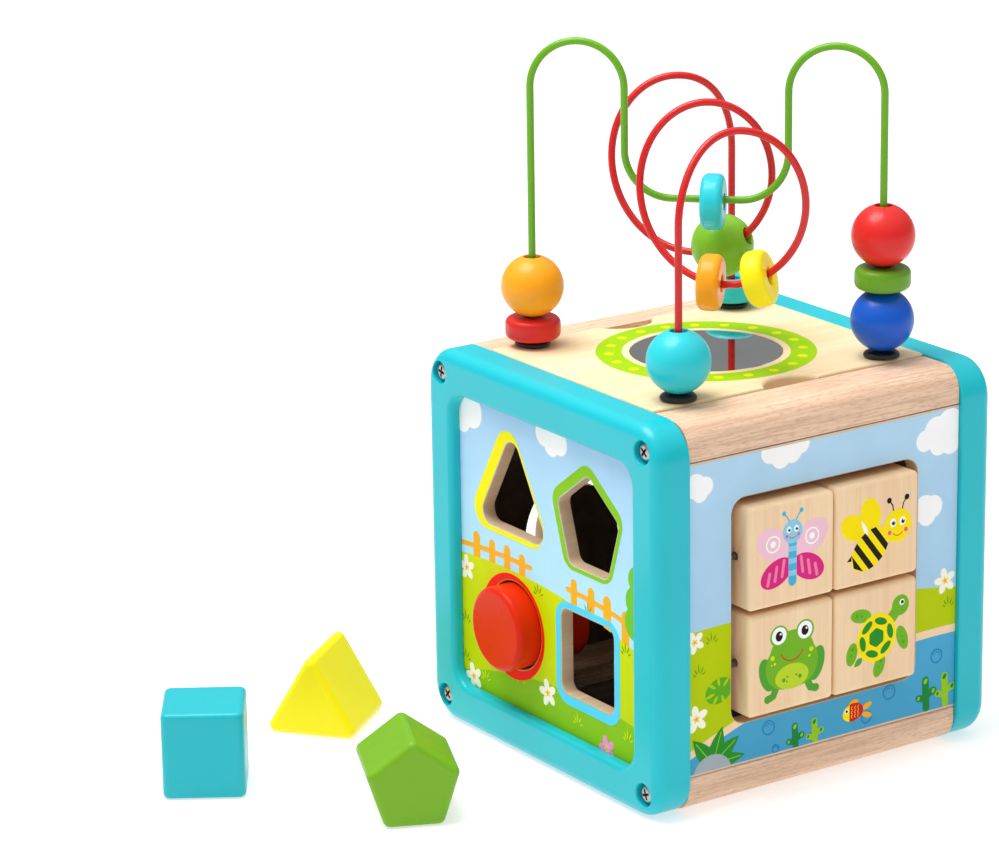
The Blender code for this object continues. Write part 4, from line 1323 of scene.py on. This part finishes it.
def make_mirror():
    edge = MIRROR_EDGE
    radius = MIRROR_RADIUS
    profile = [(0.3 * radius, MIRROR_LOW.z), (radius - edge, MIRROR_LOW.z), (radius, MIRROR_LOW.z + edge)]
    profile += [(radius, LID_TOP - edge), (radius - edge, LID_TOP), (0.3 * radius, LID_TOP)]
    mirror = turned("round_mirror", profile, [MATS["mirror"]], steps=96)
    stands_for(mirror, "mirror", "lid")


def print_lid():
    """A green ring of dots round the mirror."""
    art = Art("lid_ring", on_face("Z", 1, LID_TOP))
    art.band("ring_green", circle((0, 0), 55.9, 120), circle((0, 0), 42.6, 120))
    for k in range(20):
        art.dot("dot_yellow", polar((0, 0), 49.2, 18 * k + 6), 2.6, 24)
    art.done("lid")


def foot(node):
    """A soft rubber washer with a slightly lobed rim."""
    low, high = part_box(node)
    at = middle_of(node)
    radius = (high.x - low.x) / 2
    tall = high.z - low.z
    section = [(0.80, 0.0), (0.93, 0.06), (0.99, 0.2), (1.0, 0.4), (0.97, 0.62), (0.89, 0.82), (0.76, 0.95),
               (0.6, 1.0), (0.42, 0.98)]
    steps = 64
    loops = [ring(at.xy, WIRE_HOLE, low.z, steps)]
    for share, height in section:
        loop = []
        for k in range(steps):
            a = 360 * k / steps
            lobe = 1.0 - 0.035 * (1 + cos(radians(3 * a) + at.x * 40)) * (share > 0.5)
            loop.append((*polar(at.xy, share * radius * lobe, a), low.z + height * tall))
        loops.append(loop)
    loops.append(ring(at.xy, WIRE_HOLE, low.z + 0.96 * tall, steps))
    bm = bmesh.new()
    add_rings(bm, loops, closed=True)
    stands_for(new_object(node + "_rubber", bm, [MATS["black"]]), node, "lid")


# ---- bead maze

def green_route():
    """Two arches over the side posts and a dip between them, in the plane of one diagonal."""
    outer = DIAGONAL
    flat = outer - 2 * ARCH_RADIUS - DIP_RADIUS
    route = [(-outer, WIRE_END_Z)]
    route += arc((-outer + ARCH_RADIUS, ARCH_CENTRE_Z), ARCH_RADIUS, 180, 0, 40)
    route += arc((-flat, DIP_CENTRE_Z), DIP_RADIUS, 180, 270, 22)
    route += arc((flat, DIP_CENTRE_Z), DIP_RADIUS, 270, 360, 22)
    route += arc((outer - ARCH_RADIUS, ARCH_CENTRE_Z), ARCH_RADIUS, 180, 0, 40)
    route.append((outer, WIRE_END_Z))
    return [GREEN_DIRECTION * s + Vector((0, 0, z)) for s, z in route]


def red_point(phase):
    """A point on the looping wire; phase is in degrees, 0 at the first crest and 720 at the last."""
    along = LOOP_PITCH * (phase - 360) / 360
    side = LOOP_HALF_WIDTH * sin(radians(phase)) - LOOP_DRIFT * along
    z = LOOP_CENTRE_Z + LOOP_HALF_HEIGHT * cos(radians(phase))
    return along, side, z


def red_rise(u):
    """The first quarter turn, from the vertical post at u = 0 to the first crest at u = 1."""
    along, side, _ = red_point(0)
    quarter = LOOP_PITCH / 4
    side_slope = LOOP_HALF_WIDTH * pi / 2 - LOOP_DRIFT * quarter
    step = 3 * u ** 2 - 2 * u ** 3
    tangent = u ** 3 - u ** 2
    z = LOOP_CENTRE_Z + LOOP_HALF_HEIGHT * sin(u * pi / 2)
    return -DIAGONAL + (along + DIAGONAL) * step + quarter * tangent, side * step + side_slope * tangent, z


def red_route():
    quarter = [red_rise(i / 24) for i in range(24)]
    loops = [red_point(720 * i / 180) for i in range(181)]
    route = [(-DIAGONAL, 0.0, WIRE_END_Z)] + quarter + loops
    route += [(-a, -s, z) for a, s, z in reversed(quarter)]
    route.append((DIAGONAL, 0.0, WIRE_END_Z))
    return [RED_DIRECTION * a + RED_SIDE * s + Vector((0, 0, z)) for a, s, z in route]


def wire(node, points, mat):
    """A round coated wire swept along the points, with flat ends inside the lid."""
    steps = 18
    side = (points[1] - points[0]).orthogonal().normalized()
    loops = []
    for i, point in enumerate(points):
        ahead = (points[min(i + 1, len(points) - 1)] - points[max(i - 1, 0)]).normalized()
        side = (side - ahead * side.dot(ahead)).normalized()
        other = ahead.cross(side)
        loops.append([point + (side * u + other * v) * WIRE_RADIUS for u, v in circle((0, 0), 1.0, steps)])
    bm = bmesh.new()
    add_rings(bm, loops)
    stands_for(new_object(node + "_rod", bm, [mat], sharp=60.0), node, "lid")


def ball_profile():
    """Ball section from the top of the bore outwards and back, with a rounded bore mouth."""
    start = degrees(asin((BALL_BORE + 0.0004) / BALL_RADIUS))
    mouth = BALL_RADIUS * cos(radians(start))
    bore = [(BALL_BORE, mouth - 0.0010), (BALL_BORE + 0.0001, mouth - 0.0004)]
    shell = arc((0, 0), BALL_RADIUS, 90 - start, start - 90, 36)
    return bore + shell + [(radius, -z) for radius, z in reversed(bore)]


def disc_profile():
    half = DISC_THICK / 2
    edge = DISC_EDGE
    lip = DISC_BORE_LIP
    upper = arc((DISC_BORE + lip, half - lip), lip, 180, 90, 3)
    upper += arc((DISC_RADIUS - edge, half - edge), edge, 90, 0, 9)
    return upper + [(radius, -z) for radius, z in reversed(upper)]


def bead(node, mat, direction):
    profile = ball_profile() if node.endswith("ball") else disc_profile()
    obj = turned(node + "_bead", profile, [MATS[mat]], closed=True, steps=56)
    turn = UPRIGHT.rotation_difference(direction).to_matrix().to_4x4()
    obj.matrix_world = Matrix.Translation(middle_of(node)) @ turn
    stands_for(obj, node, node)


def make_maze():
    red = red_route()
    wire("green_wire", green_route(), MATS["green_wire"])
    wire("red_wire", red, MATS["red_wire"])
    posted = (("red_disc", "bead_red"), ("orange_ball", "orange"), ("blue_ball", "blue"),
              ("green_disc", "disc_green"), ("red_ball", "bead_red"), ("cyan_ball", "bead_cyan"),
              ("back_cyan_disc", "bead_cyan"))
    for node, mat in posted:
        bead(node, mat, UPRIGHT)
    bead("dip_cyan_disc", "bead_cyan", GREEN_DIRECTION)
    # the green ball takes the lightened green of painted light
    for node, mat in (("orange_disc", "orange"), ("yellow_disc", "yellow"), ("green_ball", "bead_green_painted_light")):
        middle = middle_of(node)
        nearest = min(range(1, len(red) - 1), key=lambda i: (red[i] - middle).length)
        direction = (red[nearest + 1] - red[nearest - 1]).normalized()
        if node.endswith("disc"):
            direction = direction.slerp(-GREEN_DIRECTION, DISC_LEAN / direction.angle(-GREEN_DIRECTION))
        bead(node, mat, direction)


# ---- sorter blocks

def make_cylinder():
    low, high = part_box("red_cylinder")
    radius = (high.x - low.x) / 2
    end = (high.y - low.y) / 2
    edge = CYLINDER_EDGE
    profile = [(0.3 * radius, -end)]
    profile += arc((radius - edge, edge - end), edge, 270, 360, 8)
    profile += arc((radius - edge, end - edge), edge, 0, 90, 8)
    profile.append((0.3 * radius, end))
    obj = turned("red_cylinder_block", profile, [MATS["red"]], steps=80)
    obj.matrix_world = Matrix.Translation((low + high) / 2) @ rotation(90, "X")
    stands_for(finished(obj), "red_cylinder", "red_cylinder")


def loose_block(node, outline, axis, length, turn, edge):
    """A prism with softly rounded edges, standing where the CAD block stands."""
    low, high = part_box(node)
    colour = node.split("_")[0]
    block = prism(node + "_wood", outline, axis, -length / 2, length / 2, [MATS[colour]])
    finished(block, edge, 6)
    spin = rotation(turn, "Z")
    corners = [spin @ v.co for v in block.data.vertices]
    spans = [(min(c[i] for c in corners), max(c[i] for c in corners)) for i in range(3)]
    at = (low + high) / 2 - Vector([sum(span) / 2 for span in spans])
    at.z = low.z - spans[2][0]
    block.matrix_world = Matrix.Translation(at) @ spin
    stands_for(block, node, node)


def make_loose_blocks():
    square = rounded_square(SQUARE_BLOCK_WIDTH / 2, LOOSE_CORNER, 8)
    triangle = rounded_regular(3, TRIANGLE_BLOCK_RADIUS, LOOSE_CORNER, 10)
    pentagon = rounded_regular(5, PENTAGON_BLOCK_RADIUS, LOOSE_CORNER, 8)
    loose_block("cyan_square_block", square, "Z", *SQUARE_BLOCK)
    loose_block("yellow_triangle_block", triangle, "Y", *TRIANGLE_BLOCK)
    loose_block("green_pentagon_block", pentagon, "Y", *PENTAGON_BLOCK)


def keep_node(node, mat):
    """Shows the CAD node itself with a finished material."""
    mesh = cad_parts[node].data
    mesh.materials.clear()
    mesh.materials.append(mat)


# ---- studio

def floor_material():
    s = Shader("studio_floor")
    tone = s.between(s.noise(3.0, 2.0), 0.3, 0.7)
    s.look(Base_Color=s.mixed(tone, (0.60, 0.60, 0.60, 1.0), (0.58, 0.58, 0.58, 1.0)))
    s.look(Roughness=s.between(tone, 0.0, 1.0, 0.8, 0.9))
    s.look(Specular_IOR_Level=0.1, Emission_Color=(1.0, 1.0, 1.0, 1.0), Emission_Strength=0.56)
    return s.mat


def make_floor():
    half = FLOOR_HALF
    bm = bmesh.new()
    add_prism(bm, rectangle(-half, half, -half, half), "Z", FLOOR_LEVEL - FLOOR_THICK, FLOOR_LEVEL)
    new_object("studio_floor", bm, [floor_material()], smooth=False)


def make_light(name, at, aim, size, power):
    data = bpy.data.lights.new(name, "AREA")
    data.shape = "DISK"
    data.size = size
    data.energy = power
    obj = linked(name, data)
    direction = Vector(aim) - Vector(at)
    obj.matrix_world = Matrix.Translation(at) @ direction.to_track_quat("-Z", "Y").to_matrix().to_4x4()


def make_world():
    world = bpy.data.worlds.new("studio")
    bpy.context.scene.world = world
    world.use_nodes = True
    tree = world.node_tree
    background = tree.nodes["Background"]
    coords = tree.nodes.new("ShaderNodeTexCoord")
    split = tree.nodes.new("ShaderNodeSeparateXYZ")
    ramp = tree.nodes.new("ShaderNodeValToRGB")
    tree.links.new(coords.outputs["Generated"], split.inputs[0])
    tree.links.new(split.outputs[2], ramp.inputs[0])
    tree.links.new(ramp.outputs[0], background.inputs["Color"])
    elements = ramp.color_ramp.elements
    for where, _ in SKY_STOPS[1:-1]:
        elements.new(where)
    for element, (where, level) in zip(elements, SKY_STOPS):
        element.position = where
        element.color = (level, level, level, 1.0)
    background.inputs["Strength"].default_value = 1.0


def make_camera():
    data = bpy.data.cameras.new("photo_camera")
    data.lens = CAMERA_LENS
    data.sensor_width = 36.0
    data.clip_end = 60.0
    camera = linked("photo_camera", data)
    turn = rotation(CAMERA_YAW, "Z") @ rotation(90 + CAMERA_PITCH, "X") @ rotation(CAMERA_ROLL, "Z")
    camera.matrix_world = Matrix.Translation(CAMERA_AT) @ turn
    bpy.context.scene.camera = camera


def main():
    for name, side in (("front_frame", -1), ("back_frame", 1)):
        make_frame(name, side)
    make_rails()
    make_screws()
    faces = make_panels()
    print_sorter(faces["sorter"])
    print_back(faces["back"])
    print_puzzle(faces["puzzle"])
    print_track(faces["track"])
    make_blocks()
    make_sliders()
    make_lid()
    make_maze()
    make_cylinder()
    make_loose_blocks()
    for node in ("front_lid_batten", "back_lid_batten"):
        keep_node(node, MATS["board"])
    keep_node("base_panel", MATS["base"])
    # the rods get steel darkened as painted shade
    for node in ("lower_rod", "upper_rod"):
        keep_node(node, MATS["rod_steel_painted_shade"])
    make_floor()
    make_world()
    make_light("key", (-0.3, -0.5, 1.9), (0, 0, 0.15), 1.3, 33.0)
    make_camera()
    scene = bpy.context.scene
    scene.view_settings.view_transform = "Standard"


main()
